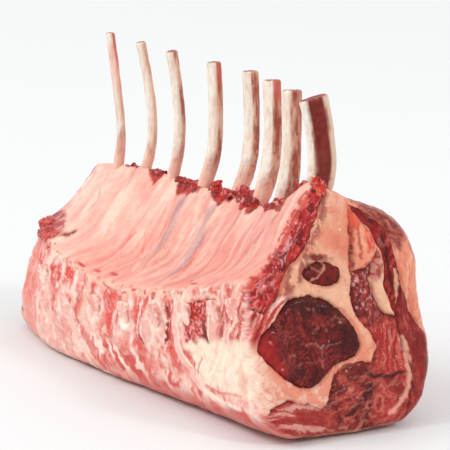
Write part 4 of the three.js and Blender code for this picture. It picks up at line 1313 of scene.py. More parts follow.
def paint_fat_face(yz):
    """Fat on the near cut: salmon above, beige round the small muscle and the eye."""
    q = ragged(yz, 6, 1.5, 1)
    y, z = q.T
    paint = Paint(len(yz), SALMON, 0.45, 0.25)
    paint.over(0.85 * patch(q, [[-46, 68], [-38, 80], [-22, 83], [-13, 78], [-14, 58], [-30, 60]], 3),
               BEIGE)
    paint.over(0.8 * stroke(q, [[-44, 66], [-32, 63.5], [-20, 60], [-13, 52], [-8, 42]], 5, 2), BEIGE)
    paint.over(0.6 * ramp(fbm(q, (7, 16), 3, 4), 0.1, 0.5), BEIGE)
    paint.over(0.5 * ramp(z, 98, 106), (0.8, 0.44, 0.33))
    # painted purple-brown shade along the strip, and a thin pale line beside it
    shade = stroke(q, [[-22, 108], [-28, 94], [-36.5, 82], [-43, 73], [-50, 64]], 6.5, 3.5)
    paint.over(0.9 * shade * ramp(fbm(q, (3, 6), 3, 2), -0.35, 0.1), SHADE, 0.6, lift=-0.5)
    paint.over(0.75 * stroke(yz, [[-23, 104], [-29.5, 93], [-38, 81], [-45, 71.5]], 1.5, 1), BEIGE)
    paint.over(spot(yz, (-29.5, 95), (1.8, 1.4), 0.3), WINE, 0.9)
    paint.over(0.95 * spot(q, (-29.5, 81.6), (4.6, 2), 0.25, -0.1), (0.15, 0.014, 0.012), 0.6)
    paint.over(0.9 * spot(q, (-35.5, 77), (2.6, 1.5), 0.3, 0.7), (0.17, 0.02, 0.016), 0.6)
    swirl = [[-27, 79.2], [-23.6, 80.6], [-21.6, 79], [-24, 76.9]]
    paint.over(0.6 * stroke(q, swirl, 1.1, 1), SHADE)
    for cx, cz in ((-16, 99), (-19, 87), (-14.5, 81)):
        paint.over(0.35 * spot(q, (cx, cz), (2.6, 4), 0.8), STREAK)
    # a fan of curved red and cream bands between the strip and the eye
    centre = np.array([-42, 40])
    off = yz - centre
    round_it = np.hypot(off[:, 0], off[:, 1] * 0.9)
    turn = np.arctan2(off[:, 1], off[:, 0])
    fan = patch(q, [[-73, 62], [-60, 62], [-49, 66], [-45, 62], [-56, 53], [-66, 46], [-73, 42]], 2)
    bands = fbm(np.column_stack([round_it, turn * 14]), (2, 13), 3, 5)
    paint.over(fan, (0.78, 0.33, 0.27), 0.7, 0.6)
    paint.over(0.95 * fan * ramp(bands, -0.15, 0.08), (0.45, 0.03, 0.025), 0.85, lift=-0.7)
    paint.over(0.7 * fan * ramp(bands, 0.22, 0.4), DEEP_RED)
    paint.over(0.6 * fan * ramp(-bands, 0.22, 0.4), CHALK)
    # the rim under the eye, with cream flushes
    low = 1 - ramp(z, 26, 33)
    paint.over(0.75 * low, (0.74, 0.275, 0.19))
    paint.over(0.6 * low * ramp(fbm(q, (5, 4), 3, 6), 0.1, 0.4), CREAM)
    left = 1 - ramp(y, -68, -60)
    paint.over(0.9 * left * (1 - ramp(z, 38, 46)), (0.86, 0.6, 0.47))
    paint.over(0.6 * left * (1 - ramp(z, 36, 44)) * ramp(fbm(yz, 3, 2, 2), 0.2, 0.45), PEACH)
    paint.over(0.55 * veins(q, 9, 3, 0.05, (1, 2)), STREAK)
    # a painted highlight: a small glint on the fat
    paint.over(0.8 * spot(yz, (-15.5, 92), (0.6, 0.5), 0.4), (0.92, 0.78, 0.7))
    # painted shade in the crease where the fat meets the muscles
    paint.over(0.5 * stroke(yz, [[-9, 103], [-9.6, 95], [-10.8, 84], [-12.3, 72.5], [-14.3, 56]], 1.2,
                            1), SHADE)
    return paint


def paint_eye(yz):
    """The loin eye: very dark, with a pale branching vein, a brighter left edge, and painted sheen and
    glints.
    """
    q = ragged(yz, 7, 1.5, 3)
    fibres = fbm(turned(ragged(yz, 8, 3.6, 2), 0.55), (4, 1.1), 3, 1)
    crossing = fbm(turned(ragged(yz, 6, 2.4, 5), -0.5), (3, 1), 2, 3)
    clumps = fbm(q, 5.5, 3, 5)
    paint = Paint(len(yz), (0.155, 0.008, 0.009), 0.6, 1)
    paint.lift += 1.1 * clumps + 0.7 * fibres
    paint.over(0.7 * ramp(fbm(q, 14, 2, 2), -0.2, 0.4), (0.23, 0.014, 0.013))
    paint.over(0.5 * ramp(fibres, 0.1, 0.5), (0.32, 0.045, 0.038), lift=0.3)
    paint.over(0.35 * ramp(crossing, 0.15, 0.5), (0.29, 0.035, 0.03), lift=0.2)
    # painted sheen: soft lighter patches over the dark meat
    paint.over(0.5 * ramp(fbm(q, 9, 2, 8), 0.1, 0.45), (0.25, 0.042, 0.038), lift=0.3)
    paint.over(0.6 * ramp(-fibres, 0.1, 0.4), WINE_DARK, lift=-0.4)
    paint.over(0.5 * ramp(-crossing, 0.2, 0.5), WINE_DARK, lift=-0.2)
    paint.over(0.5 * ramp(-clumps, 0.1, 0.4), WINE_DARK)
    paint.over(0.75 * patch(q, [[-52, 63], [-30, 62], [-18, 54], [-30, 54], [-46, 58]], 3), WINE_DARK,
               lift=-0.6)
    paint.over(0.75 * patch(q, [[-22, 52], [-13, 44], [-16, 36], [-26, 40]], 4), WINE_DARK, lift=-0.5)
    paint.over(0.6 * patch(q, [[-44, 27], [-36, 24], [-30, 30], [-36, 31]], 2.5), WINE_DARK)
    edge = patch(q, [[-69, 49], [-61, 50], [-57, 40], [-55, 30], [-60, 31], [-69, 42]], 4)
    paint.over(0.85 * edge, CRIMSON, 0.9)
    bright = ramp(fbm(turned(yz, 0.9), (6, 2), 2, 1), 0.1, 0.4)
    paint.over(0.6 * edge * bright, (0.42, 0.018, 0.016))
    thread = ragged(ragged(yz, 6, 1.6, 4), 1.8, 0.7, 2)
    vein = (0.58, 0.19, 0.14)
    for path, width in (
        ([[-42, 43.8], [-37.5, 43], [-35, 40], [-35.6, 34], [-34, 28.5], [-37, 24.5]], 1),
        ([[-35, 40.5], [-29, 41.5], [-24, 43.2]], 0.6),
        ([[-35.5, 36], [-42, 35.4], [-48, 33.6]], 0.7),
        ([[-38, 47.5], [-34, 50], [-30.5, 49.2], [-31, 46.2]], 0.5),
        ([[-34, 29], [-31.5, 30.8], [-30, 28.6], [-33, 26.5]], 0.6),
        ([[-44, 57], [-39, 59], [-33, 56.5]], 0.5),
        ([[-42, 43.8], [-48, 47], [-53, 46]], 0.5),
        ([[-46, 38], [-52, 39], [-58, 36]], 0.5),
        ([[-30, 52], [-25, 54], [-21, 52]], 0.5),
    ):
        broken = ramp(fbm(yz, 3, 2, 7), -0.5, 0.15)
        paint.over(0.62 * broken * stroke(thread, path, width * 0.7, 1, 0.4), vein, 0.6, lift=0.2)
    # painted highlights: three small glints
    for cy, cz in ((-60.5, 46.2), (-23, 51), (-56.5, 34)):
        paint.over(0.8 * spot(ragged(yz, 2, 0.6, 1), (cy, cz), (0.8, 0.5), 0.5), (0.66, 0.26, 0.2), 1)
    return paint


def paint_companion(yz):
    """The small muscle above the eye, split by a slanting line of fat."""
    paint = Paint(len(yz), (0.135, 0.011, 0.01), 0.5, 1)
    fibres = fbm(turned(ragged(yz, 4, 1, 2), 0.9), (3.4, 1.3), 3, 2)
    paint.lift += 0.7 * fibres
    paint.over(0.7 * ramp(fibres, 0.1, 0.4), (0.27, 0.012, 0.01))
    paint.over(0.5 * ramp(-fibres, 0.2, 0.5), WINE_DARK)
    line = [[-38, 67.5], [-33.5, 70.6], [-29, 73], [-26.5, 77.5]]
    paint.over(stroke(ragged(yz, 3, 0.9, 1), line, 1, 0.9), (0.58, 0.22, 0.16), 0.4, 0.3, 0.3)
    paint.over(0.6 * stroke(ragged(yz, 3, 0.9, 4), [[-30, 74], [-33, 77]], 0.9, 0.8), (0.55, 0.22, 0.16))
    return paint


def paint_lean_face(yz, colour, seed, turn=1.3):
    """A cut muscle with its fibres, pale connective lines and darker hollows."""
    q = ragged(yz, 6, 1.6, seed)
    fibres = fbm(turned(q, turn), (10, 1.4), 3, seed)
    paint = Paint(len(yz), colour, 0.6, 1)
    clumps = fbm(q, 8, 3, seed + 2)
    paint.over(0.65 * ramp(fibres, 0.1, 0.5), (0.6, 0.105, 0.075))
    paint.over(0.6 * ramp(-fibres, 0.15, 0.45), (0.11, 0.007, 0.007))
    paint.over(0.55 * ramp(-clumps, 0.05, 0.4), (0.12, 0.008, 0.008))
    paint.over(0.22 * veins(q, 11, seed % 4 + 4, 0.035), (0.58, 0.19, 0.14))
    paint.lift += 0.9 * fibres + 1.5 * clumps
    return paint


# the pale band where the outer lean meets the back muscle
FOOT_BAND = ((9.4, 40), (11, 36), (11.6, 27), (9, 17), (2.5, 10), (-4, 6.5))


def paint_back_muscle(yz):
    """The folded muscle under the eye and up its right side."""
    paint = paint_lean_face(yz, LEAN, 2, 0.35)
    q = ragged(yz, 5, 1.2, 4)
    pale = (0.62, 0.25, 0.19)
    high = ramp(q[:, 1], 48, 56)
    folds = fbm(turned(ragged(yz, 7, 2, 1), 1.35), (11, 2.6), 3, 1)
    # dark wet meat under the flap, darkened further as painted shade of the recess; pale folds, painted
    # glints on the flecks and dark specks between them
    paint.over(0.85 * high, (0.26, 0.02, 0.017), 1, lift=-1.4)
    paint.over(0.5 * high * ramp(folds, 0, 0.4), (0.48, 0.08, 0.065), 1, lift=1.1)
    paint.over(0.65 * high * ramp(-folds, 0.1, 0.4), WINE_DARK, lift=-0.9)
    glints_and_flecks = fbm(turned(ragged(yz, 4, 1.2, 5), 1.2), (2.6, 0.9), 2, 7)
    paint.over(0.7 * high * ramp(glints_and_flecks, 0.22, 0.42), (0.72, 0.34, 0.31), 1, lift=0.4)
    paint.over(0.6 * high * ramp(-glints_and_flecks, 0.2, 0.45), (0.1, 0.006, 0.006), lift=-0.3)
    # smooth slabs with upright pale lines
    slab = patch(q, [[-8, 44], [2, 49], [8, 44], [9, 34], [11, 27], [-4, 27], [-6, 36]], 2)
    paint.over(0.8 * slab, SLAB, 0.5, 0.5, 1)
    grain_lines = fbm(turned(ragged(yz, 9, 2.2, 6), 1.45), (16, 1.5), 3, 2)
    paint.over(0.6 * slab * ramp(grain_lines, 0.1, 0.45), (0.66, 0.17, 0.13), lift=0.3)
    paint.over(0.55 * slab * ramp(-grain_lines, 0.1, 0.45), (0.2, 0.014, 0.012), lift=-0.3)
    bright = fbm(turned(ragged(yz, 6, 1.6, 3), 1.5), (9, 0.9), 2, 6)
    paint.over(0.45 * slab * ramp(bright, 0.3, 0.5), (0.78, 0.32, 0.26), 0.7, lift=0.3)
    lower = patch(q, [[-6, 24], [6, 25], [12, 20], [8, 9], [2, 3], [-9, 4], [-12, 14]], 2.5)
    paint.over(0.8 * lower, (0.4, 0.032, 0.026), 0.55, 0.6, 1.2)
    swept = ragged(yz, 7, 3.2, 0)
    arcs = np.hypot(swept[:, 0] + 9, (swept[:, 1] - 14) * 1.15)
    arc_lines = fbm(np.column_stack([arcs, q[:, 1] * 0.3]), (2, 9), 2, 3)
    paint.over(0.5 * lower * ramp(arc_lines, 0.05, 0.4), (0.62, 0.2, 0.15), lift=0.4)
    paint.over(0.5 * lower * ramp(-arc_lines, 0.1, 0.5), (0.13, 0.012, 0.01), lift=-0.6)
    # pale marbling left of the fold
    marbled = patch(q, [[-30, 28], [-16, 31], [-8, 28], [-12, 14], [-20, 6], [-34, 8]], 3)
    paint.over(0.45 * marbled * ramp(fbm(q, 3.4, 3, 5), 0.1, 0.4), (0.44, 0.085, 0.065), lift=0.4)
    paint.over(0.75 * marbled * ramp(-fbm(q, 5, 3, 0), 0, 0.3), WINE, lift=-0.5)
    # painted shade in the deep creases of the folds
    for path, width in (
        ([[-13.5, 26.6], [-6, 25], [0, 24.6], [6.5, 25.4]], 1.6),
        ([[-27, 8.8], [-18, 14], [-10.5, 21.5]], 1.5),
        ([[-12, 20], [-14, 12], [-19, 3]], 1.3),
    ):
        paint.over(0.95 * stroke(q, path, width, 1.6), WINE_DARK, 0.8, lift=-1.8)
    for path in ([[-14, 12.5], [-19, 6], [-21, 1]], [[-58, 15], [-46, 12], [-36, 6]],
                 [[-62, 8], [-48, 6.5], [-38, 3.5], [-28, 4]], [[-30, 24], [-22, 21], [-18, 16]]):
        broken = ramp(fbm(yz, 4, 2, 6), -0.3, 0.1)
        paint.over(0.6 * broken * stroke(ragged(yz, 4, 1.6, 3), path, 1.1, 1.1), pale, lift=0.4)
    # the pale band that comes down the outer lean ends in a curve here
    band = stroke(ragged(yz, 3, 0.9, 2), FOOT_BAND, 4.2, 1.4, 0.5)
    paint.over(0.9 * band, (0.74, 0.33, 0.25), 0.5, 0.3, 0.4)
    streaks = ramp(fbm(turned(q, 0.5), (6, 1.4), 3, 1), 0.2, 0.4)
    paint.over(0.4 * streaks * (1 - ramp(q[:, 1], 24, 30)), (0.6, 0.19, 0.145))
    # light red meat along the left of the foot
    left = 1 - ramp(q[:, 0], -48, -30)
    paint.over(0.7 * left, (0.46, 0.05, 0.04))
    paint.over(0.5 * left * ramp(fbm(turned(q, -0.1), (15, 1.8), 3, 6), 0.05, 0.4), PALE)
    paint.over(0.6 * left * ramp(-fbm(turned(q, -0.1), (15, 1.8), 3, 6), 0.1, 0.4), DEEP_RED)
    paint.over(0.8 * stroke(yz, [[-16.3, 34.2], [-22, 31.8], [-28.5, 29.6]], 1.1, 0.8), SALMON)
    return paint


def paint_flap(yz):
    """The folded flap of fat with its red opening, painted shade in the crease by the column and a
    painted shadow round its fold.
    """
    paint = Paint(len(yz), (0.76, 0.3, 0.19), 0.5, 0.3)
    q = ragged(yz, 4, 1, 2)
    paint.lift += 0.8
    fold = patch(q, [[-7.5, 96], [-2, 93.5], [2.4, 88], [1.5, 80], [-3, 75], [-8.5, 74], [-7.5, 84]],
                 1.6)
    paint.over(fold, lift=1.9)
    # the red edge by the column, with painted shade in the crease between them
    crease = [[-9.2, 100], [-9.6, 91], [-10.8, 82], [-12, 75]]
    paint.over(0.9 * stroke(q, crease, 2.2, 1.4), (0.46, 0.03, 0.022), 0.9, lift=-1.8)
    paint.over(0.8 * stroke(ragged(yz, 3, 0.8, 4), crease, 1, 0.9), WINE_DARK, lift=-0.8)
    strands = fbm(turned(q, 1.4), (12, 2.4), 3, 5)
    paint.over(0.6 * ramp(strands, 0, 0.4), (0.8, 0.2, 0.11))
    paint.over(0.35 * ramp(-strands, 0.15, 0.5), BEIGE, lift=0.3)
    upper = patch(q, [[-9.5, 101], [-5, 97], [-3, 92], [-6.5, 90], [-9, 92]], 1.2)
    paint.over(0.85 * upper, (0.7, 0.09, 0.05), 0.8, lift=0.8)
    inner = stroke(q, [[-6.2, 92], [-6.8, 86], [-7.6, 78]], 1.3, 1.2)
    paint.over(0.85 * inner, (0.42, 0.03, 0.022), 0.9, lift=-1.3)
    rim_line = [[-4.6, 84], [-5, 90.5], [-3, 94], [0.4, 92.6], [2.6, 87.6], [3, 82]]
    paint.over(0.7 * stroke(q, rim_line, 2, 1.6), (0.82, 0.34, 0.22), lift=0.8)
    mouth = patch(q, [[-3.4, 91], [-0.6, 90.6], [1.4, 87], [0.8, 82.6], [-1.8, 80.6], [-3, 85]], 0.9)
    paint.over(0.9 * mouth, (0.64, 0.05, 0.03), 0.95, 0.5, -1.3)
    paint.over(0.7 * mouth * ramp(fbm(q, (1.6, 4, 1), 2, 3), 0, 0.35), (0.8, 0.26, 0.17))
    # painted shadow of the fold round the flap's right side and underside
    fold_shadow = stroke(q, [[-8, 103], [-3, 96.5], [2, 93], [4.2, 87], [4.6, 81], [-1, 74.6], [-6, 71.6],
                        [-12, 71.8]], 1.3, 1.2)
    paint.over(0.8 * fold_shadow, (0.36, 0.03, 0.022), 0.9, lift=-1)
    for cy, cz in ((-3, 80.5), (-1.5, 77.5), (-5, 76)):
        paint.over(0.8 * spot(q, (cy, cz), (1, 0.8), 0.5), RED)
    return paint


def paint_fat_strip(yz):
    """The bright strip of fat with a tongue of lean in its head."""
    paint = Paint(len(yz), (0.8, 0.45, 0.29), 0.45, 0.2)
    q = ragged(yz, 3, 0.7, 1)
    spine = [[1.5, 79], [1, 72], [0.8, 64], [1.6, 57], [5, 51.5]]
    paint.over(stroke(q, spine, 4.5, 4), lift=1.8)
    paint.lift += 0.5
    tongue = patch(q, [[-1.4, 79], [2.6, 81.5], [4.2, 76], [2.2, 70.5], [-1.4, 66.5], [-2.4, 72]], 0.9)
    paint.over(tongue, (0.36, 0.06, 0.05), 0.7, 0.8)
    paint.over(0.6 * tongue * ramp(fbm(yz, 1.8, 2, 2), 0, 0.3), (0.58, 0.19, 0.15))
    # painted shade in the crease along the strip's left side
    paint.over(0.6 * stroke(yz, [[-2.8, 66], [-2.2, 58], [2.2, 51.5]], 1, 0.9), SHADE)
    paint.over(0.5 * ramp(fbm(q, 4, 2, 5), 0.15, 0.4), PEACH)
    return paint


def paint_cap_lean(yz):
    """The thin dark muscle inside the outer fat."""
    paint = paint_lean_face(yz, (0.26, 0.01, 0.008), 5, 1)
    paint.over(0.7 * ramp(fbm(yz, 4, 2, 1), -0.4, 0.2), (0.25, 0.008, 0.006))
    paint.lift -= 1.6
    q = ragged(yz, 5, 1.2, 2)
    upper = ramp(q[:, 1], 84, 92)
    swept = fbm(turned(q, -0.5), (9, 1.6), 3, 3)
    paint.over(0.5 * upper * ramp(swept, -0.1, 0.25), (0.44, 0.04, 0.03))
    paint.over(0.85 * stroke(q, [[8.5, 86], [9.8, 80], [8.8, 70], [11, 62]], 1.6, 1.4), WINE_DARK,
               lift=-1)
    paint.over(0.9 * stroke(q, [[13.2, 70], [12.4, 63], [11.6, 56]], 1.8, 1.2), BEIGE)
    paint.over(0.7 * spot(q, (5.5, 87), (2.4, 1.4), 0.6), (0.5, 0.03, 0.028), 0.95)
    paint.over(0.25 * spot(q, (7, 83.5), (1.8, 1.6), 0.6), GREY_PINK)
    return paint


def paint_outer_fat(yz):
    """The fat on the outside of the cap, with brown meat along its top."""
    paint = Paint(len(yz), SALMON, 0.45, 0.25)
    q = ragged(yz, 6, 1.5, 5)
    paint.over(0.6 * ramp(fbm(turned(q, 1.3), (14, 2.5), 3, 2), 0.1, 0.45), (0.8, 0.44, 0.33))
    paint.over(0.5 * ramp(fbm(turned(q, 1.3), (10, 1.6), 3, 6), 0.2, 0.45), LEAN_PALE)
    gap, _ = nearest_on(yz, LOOP, closed=True)
    top = patch(q, [[-7, 105], [4, 101], [13, 95], [20, 87], [18, 80], [13, 83], [10, 89], [2, 97]], 1.5)
    fibres = fbm(turned(q, -0.6), (8, 1.6), 3, 3)
    paint.over(0.9 * top, (0.3, 0.045, 0.036), 0.8, 0.9, -1.6)
    paint.over(0.6 * top * ramp(fibres, 0, 0.35), (0.56, 0.2, 0.16), lift=0.4)
    paint.over(0.6 * top * ramp(-fibres, 0.1, 0.4), WINE, lift=-0.5)
    light_edge = ramp(fbm(yz, 5, 2, 1), -0.3, 0.2)
    paint.over(0.65 * light_edge * (1 - ramp(gap, 0.5, 2.6)), (0.7, 0.36, 0.29))
    paint.over(0.8 * stroke(q, [[20.5, 89], [23.6, 82], [25.4, 72]], 2.6, 1.6), (0.42, 0.09, 0.075))
    return paint


def paint_outer_lean(yz):
    """The lean below the outer fat."""
    paint = paint_lean_face(yz, (0.29, 0.028, 0.024), 1, 1.35)
    gap, _ = nearest_on(yz, LOOP, closed=True)
    paint.over(0.5 * (1 - ramp(gap, 0.3, 2.2)), GREY_PINK)
    q = ragged(yz, 5, 1.2, 2)
    paint.over(0.5 * ramp(-fbm(q, 7, 2, 3), -0.1, 0.4), (0.24, 0.012, 0.01))
    paint.over(stroke(q, FOOT_BAND, 3.4, 1, 0.5), (0.74, 0.36, 0.26), 0.4, 0.2)
    return paint


FACE_PAINTERS = {
    "rib_wall": paint_strip,
    "fat_bed": paint_fat_face,
    "outer_fat": paint_outer_fat,
    "cap_lean": paint_cap_lean,
    "cap_flap": paint_flap,
    "fat_strip": paint_fat_strip,
    "outer_lean": paint_outer_lean,
    "back_muscle": paint_back_muscle,
    "loin_eye": paint_eye,
    "eye_companion": paint_companion,
}


# how much of the rounded edge of a cut the paint of the sides fades out over
EDGE_BLEND = 0.45
FAT_LAYERS = ("fat_bed", "outer_fat", "cap_flap", "fat_strip")


def paint_layer(name, layer):
    """Side paint and face paint, met in the rounded edge of the cut. Raises what they raise."""
    paint = Paint(len(layer.verts), LEAN)
    width = on_loop(layer.where, LOOP_RADII)
    paint_sides(paint, layer, layer.outer | (layer.on_cut & (layer.gap < width)))
    inner = np.where(layer.on_cut, ramp(layer.gap, 0, EDGE_BLEND * width), 0)
    paint.lay(layer.on_cut & ~layer.outer, FACE_PAINTERS[name], inner, layer.yz)
    # painted shade in the groove round the rim of each layer's face: wine-dark on the lean, red on the
    # fat
    rim = layer.on_cut * (1 - ramp(layer.depth, 0.25, 1.5)) * inner
    rim *= ramp(fbm(layer.yz, 4.5, 2, 5), -0.45, 0.25)
    if name in FAT_LAYERS:
        paint.over(0.3 * rim, STREAK)
    else:
        paint.over(0.5 * rim, WINE_DARK, 0.8)
    layer.verts = layer.verts + layer.rise * paint.lift[:, None]
    layer.verts[:, 2] = np.maximum(layer.verts[:, 2], GROUND_GAP)
    return paint


# ------------------------------------------------------------------ bones
# corners of a section, heights between which the easing sets in, its reach, how square a section
# is, the worn rim of the sawn tip, and the rings and depth of its hollow
BONE_FORM = {
    "sides": 30, "bare": (78, 94), "easing": 9, "squareness": 0.82, "rim_width": 0.9,
    "rim_drop": 0.55, "tip_rings": (0.86, 0.66, 0.42, 0.18), "tip_hollow": 0.35,
}
# how brown-red the scraped side of each bone is, and where round the bone it starts
BONE_STAIN = {
    "strength": [0.35, 0.35, 0.8, 0.85, 0.9, 0.95, 1, 1],
    "edge": [0.4, 0.35, 0.3, 0.2, 0.1, 0, -0.05, 0],
}


def eased_line(line, reach):
    """A line of evenly spaced points with its bends eased over reach points; its ends stay."""
    n = math.ceil(reach * 2.5)
    weights = np.exp(-0.5 * (np.arange(-n, n + 1) / reach) ** 2)
    weights /= weights.sum()
    before = 2 * line[0] - line[n:0:-1]
    after = 2 * line[-1] - line[-2:-n - 2:-1]
    long = np.vstack([before, line, after])
    return np.column_stack([np.convolve(column, weights, "valid") for column in long.T])


def bone_mesh(i, spacing):
    """(verts, quads, triangles, facing) of one rib bone with worn, uneven surfaces. Facing holds
    one value a vertex: how it faces in x and y, how high up, near the tip or on the sawn tip."""
    path = bone_path(i, spacing)
    sides = BONE_FORM["sides"]
    bare = ramp(path[:, 2], *BONE_FORM["bare"])[:, None]
    eased = eased_line(path[:, :3], BONE_FORM["easing"] / spacing)
    middles = mix(path[:, :3], eased, bare)
    tangents = np.gradient(middles, axis=0)
    tangents /= np.linalg.norm(tangents, axis=1, keepdims=True)
    wide = np.array([1, 0, 0]) - tangents * tangents[:, :1]
    wide /= np.linalg.norm(wide, axis=1, keepdims=True)
    thick = np.cross(tangents, wide)
    angle = np.linspace(0, 2 * np.pi, sides, endpoint=False)
    c, s = (np.sign(v) * np.abs(v) ** BONE_FORM["squareness"] for v in (np.cos(angle), np.sin(angle)))
    rings = len(path)
    half_width, half_thickness = (path[:, k, None, None] / 2 for k in (3, 4))
    off = (wide[:, None] * half_width * c[None, :, None]
           + thick[:, None] * half_thickness * s[None, :, None])
    flat = (middles[:, None] + off).reshape(-1, 3)
    outward = (off / np.linalg.norm(off, axis=2, keepdims=True)).reshape(-1, 3)
    bumps = 0.22 * fbm(flat, (5, 5, 22), 2, i) + 0.12 * fbm(flat, (1.4, 1.4, 7), 2, i + 2)
    left = np.repeat((len(path) - 1 - np.arange(rings)) * spacing, sides)
    rim = np.clip(1 - left / BONE_FORM["rim_width"], 0, 1)
    flat = flat + outward * (bumps - BONE_FORM["rim_drop"] * rim**2)[:, None]
    cut = tangents[-1]
    last = (rings - 1) * sides
    tip = middles[-1]
    caps = []
    for share in BONE_FORM["tip_rings"]:
        ring = tip + (flat[last:last + sides] - tip) * share
        sunk = BONE_FORM["tip_hollow"] * (1 - share) + 0.25 * fbm(ring, 1.8, 2, i + 1) - 0.1
        caps.append(ring - cut * sunk[:, None])
    verts = np.vstack([flat, *caps, (tip - cut * 0.3)[None], path[0, :3][None]])
    i0 = np.arange(sides)
    i1 = (i0 + 1) % sides
    steps = rings - 1 + len(caps)
    ring = np.column_stack([i0, i1, i1 + sides, i0 + sides])
    quads = [ring + k * sides for k in range(steps)]
    top = len(verts) - 2
    end = steps * sides
    triangles = np.vstack([
        np.column_stack([end + i0, end + i1, np.full(sides, top)]),
        np.column_stack([i1, i0, np.full(sides, top + 1)]),
    ])
    shaft = rings * sides
    facing = {name: np.zeros(len(verts)) for name in ("end", "x", "y", "up", "tip")}
    facing["end"][shaft:-1] = 1
    facing["x"][:shaft] = np.tile(c, rings)
    facing["y"][:shaft] = np.tile(s, rings)
    facing["tip"][:shaft] = rim
    facing["up"][:shaft] = np.repeat(np.linspace(0, 1, rings), sides)
    facing["up"][shaft:-1] = 1
    return verts, np.vstack(quads), triangles, facing


def paint_bone(i, points, facing):
    """Ivory with brown-red scrapings on the side that faces the near end, a red sawn tip."""
    along_bone = fbm(points, (2.2, 2.2, 34), 3, i)
    streaks = fbm(points, (0.9, 0.9, 26), 2, i + 1)
    paint = Paint(len(points), IVORY, 0.35, 0.3)
    paint.over(0.6 * ramp(fbm(points, (4, 4, 16), 3, i + 2), -0.1, 0.4), (0.8, 0.58, 0.44))
    paint.over(0.4 * ramp(streaks, 0.05, 0.4), (0.62, 0.4, 0.29))
    paint.over(0.3 * ramp(-streaks, 0.15, 0.5), (0.9, 0.85, 0.78))
    reddish, edge = BONE_STAIN["strength"][i], BONE_STAIN["edge"][i]
    turn = 0.56 * facing["x"] + 0.83 * facing["y"]
    side = ramp(turn + 0.12 * along_bone, edge - 0.12, edge + 0.12)
    side *= ramp(facing["x"], -0.35, 0.1)
    if i < 2:
        paint.over(0.5 * side, (0.76, 0.33, 0.23))
    if i == 7:
        side = ramp(facing["x"], 0.35, 0.55) * ramp(facing["y"] + 0.1 * along_bone, -0.86, -0.66)
        side *= 1 - ramp(facing["y"] + 0.12 * along_bone, 0.35, 0.55)
        paint.over(0.7 * ramp(facing["y"], 0.1, 0.5), (0.5, 0.32, 0.23))
    # painted shade: a warmer, darker tone on the sides that face right in the view, away from the key
    # light
    paint.over(0.5 * ramp(turn + 0.2 * along_bone, -0.35, 0.1), (0.74, 0.5, 0.37))
    paint.over(reddish * side, TAN)
    paint.over(reddish * side * ramp(along_bone, -0.45, 0.3), BROWN_RED, 0.55, 0.6)
    paint.over(0.5 * side * ramp(-streaks, 0.05, 0.35), (0.66, 0.42, 0.31))
    if i == 7:
        paint.over(0.95 * side, (0.15, 0.008, 0.005), 0.5)
        paint.over(0.6 * side * ramp(streaks, 0.05, 0.4), (0.24, 0.036, 0.024), 0.4)
    paint.over(0.5 * reddish * side * ramp(fbm(points, (1.6, 1.6, 12), 3, i + 4), 0.2, 0.5),
               (0.22, 0.04, 0.03))
    high = ramp(points[:, 2], 134, 143)
    if i in (0, 3, 5):
        paint.over(0.8 * side * high, (0.5, 0.09, 0.07), 0.7)
    if i == 0:
        paint.over(0.35 * ramp(points[:, 2], 108, 140) * (1 - ramp(points[:, 2], 146, 153)), ROSE)
    # the foot is red where it leaves the meat
    low = 1 - ramp(points[:, 2] + 5 * along_bone, 96, 109)
    paint.over(0.75 * low * ramp(facing["x"] + 0.5 * along_bone, -0.2, 0.4), BROWN_RED, 0.7)
    paint.over(0.7 * (1 - ramp(points[:, 2] + 6 * streaks, 94, 107)), PEACH)
    # tip
    paint.over(facing["end"], MARROW, 0.6, 1)
    paint.over(0.8 * facing["tip"] * ramp(along_bone, -0.3, 0.2), (0.45, 0.15, 0.11))
    sawn = facing["up"] < 0.03
    speckle = fbm(points, 2, 3, i % 5)
    paint.over(1 * sawn, (0.86, 0.47, 0.4), 0.5, 1)
    paint.over(0.8 * sawn * ramp(speckle, 0, 0.3), ROSE)
    paint.over(0.8 * sawn * ramp(-speckle, 0, 0.3), CHALK)
    return paint


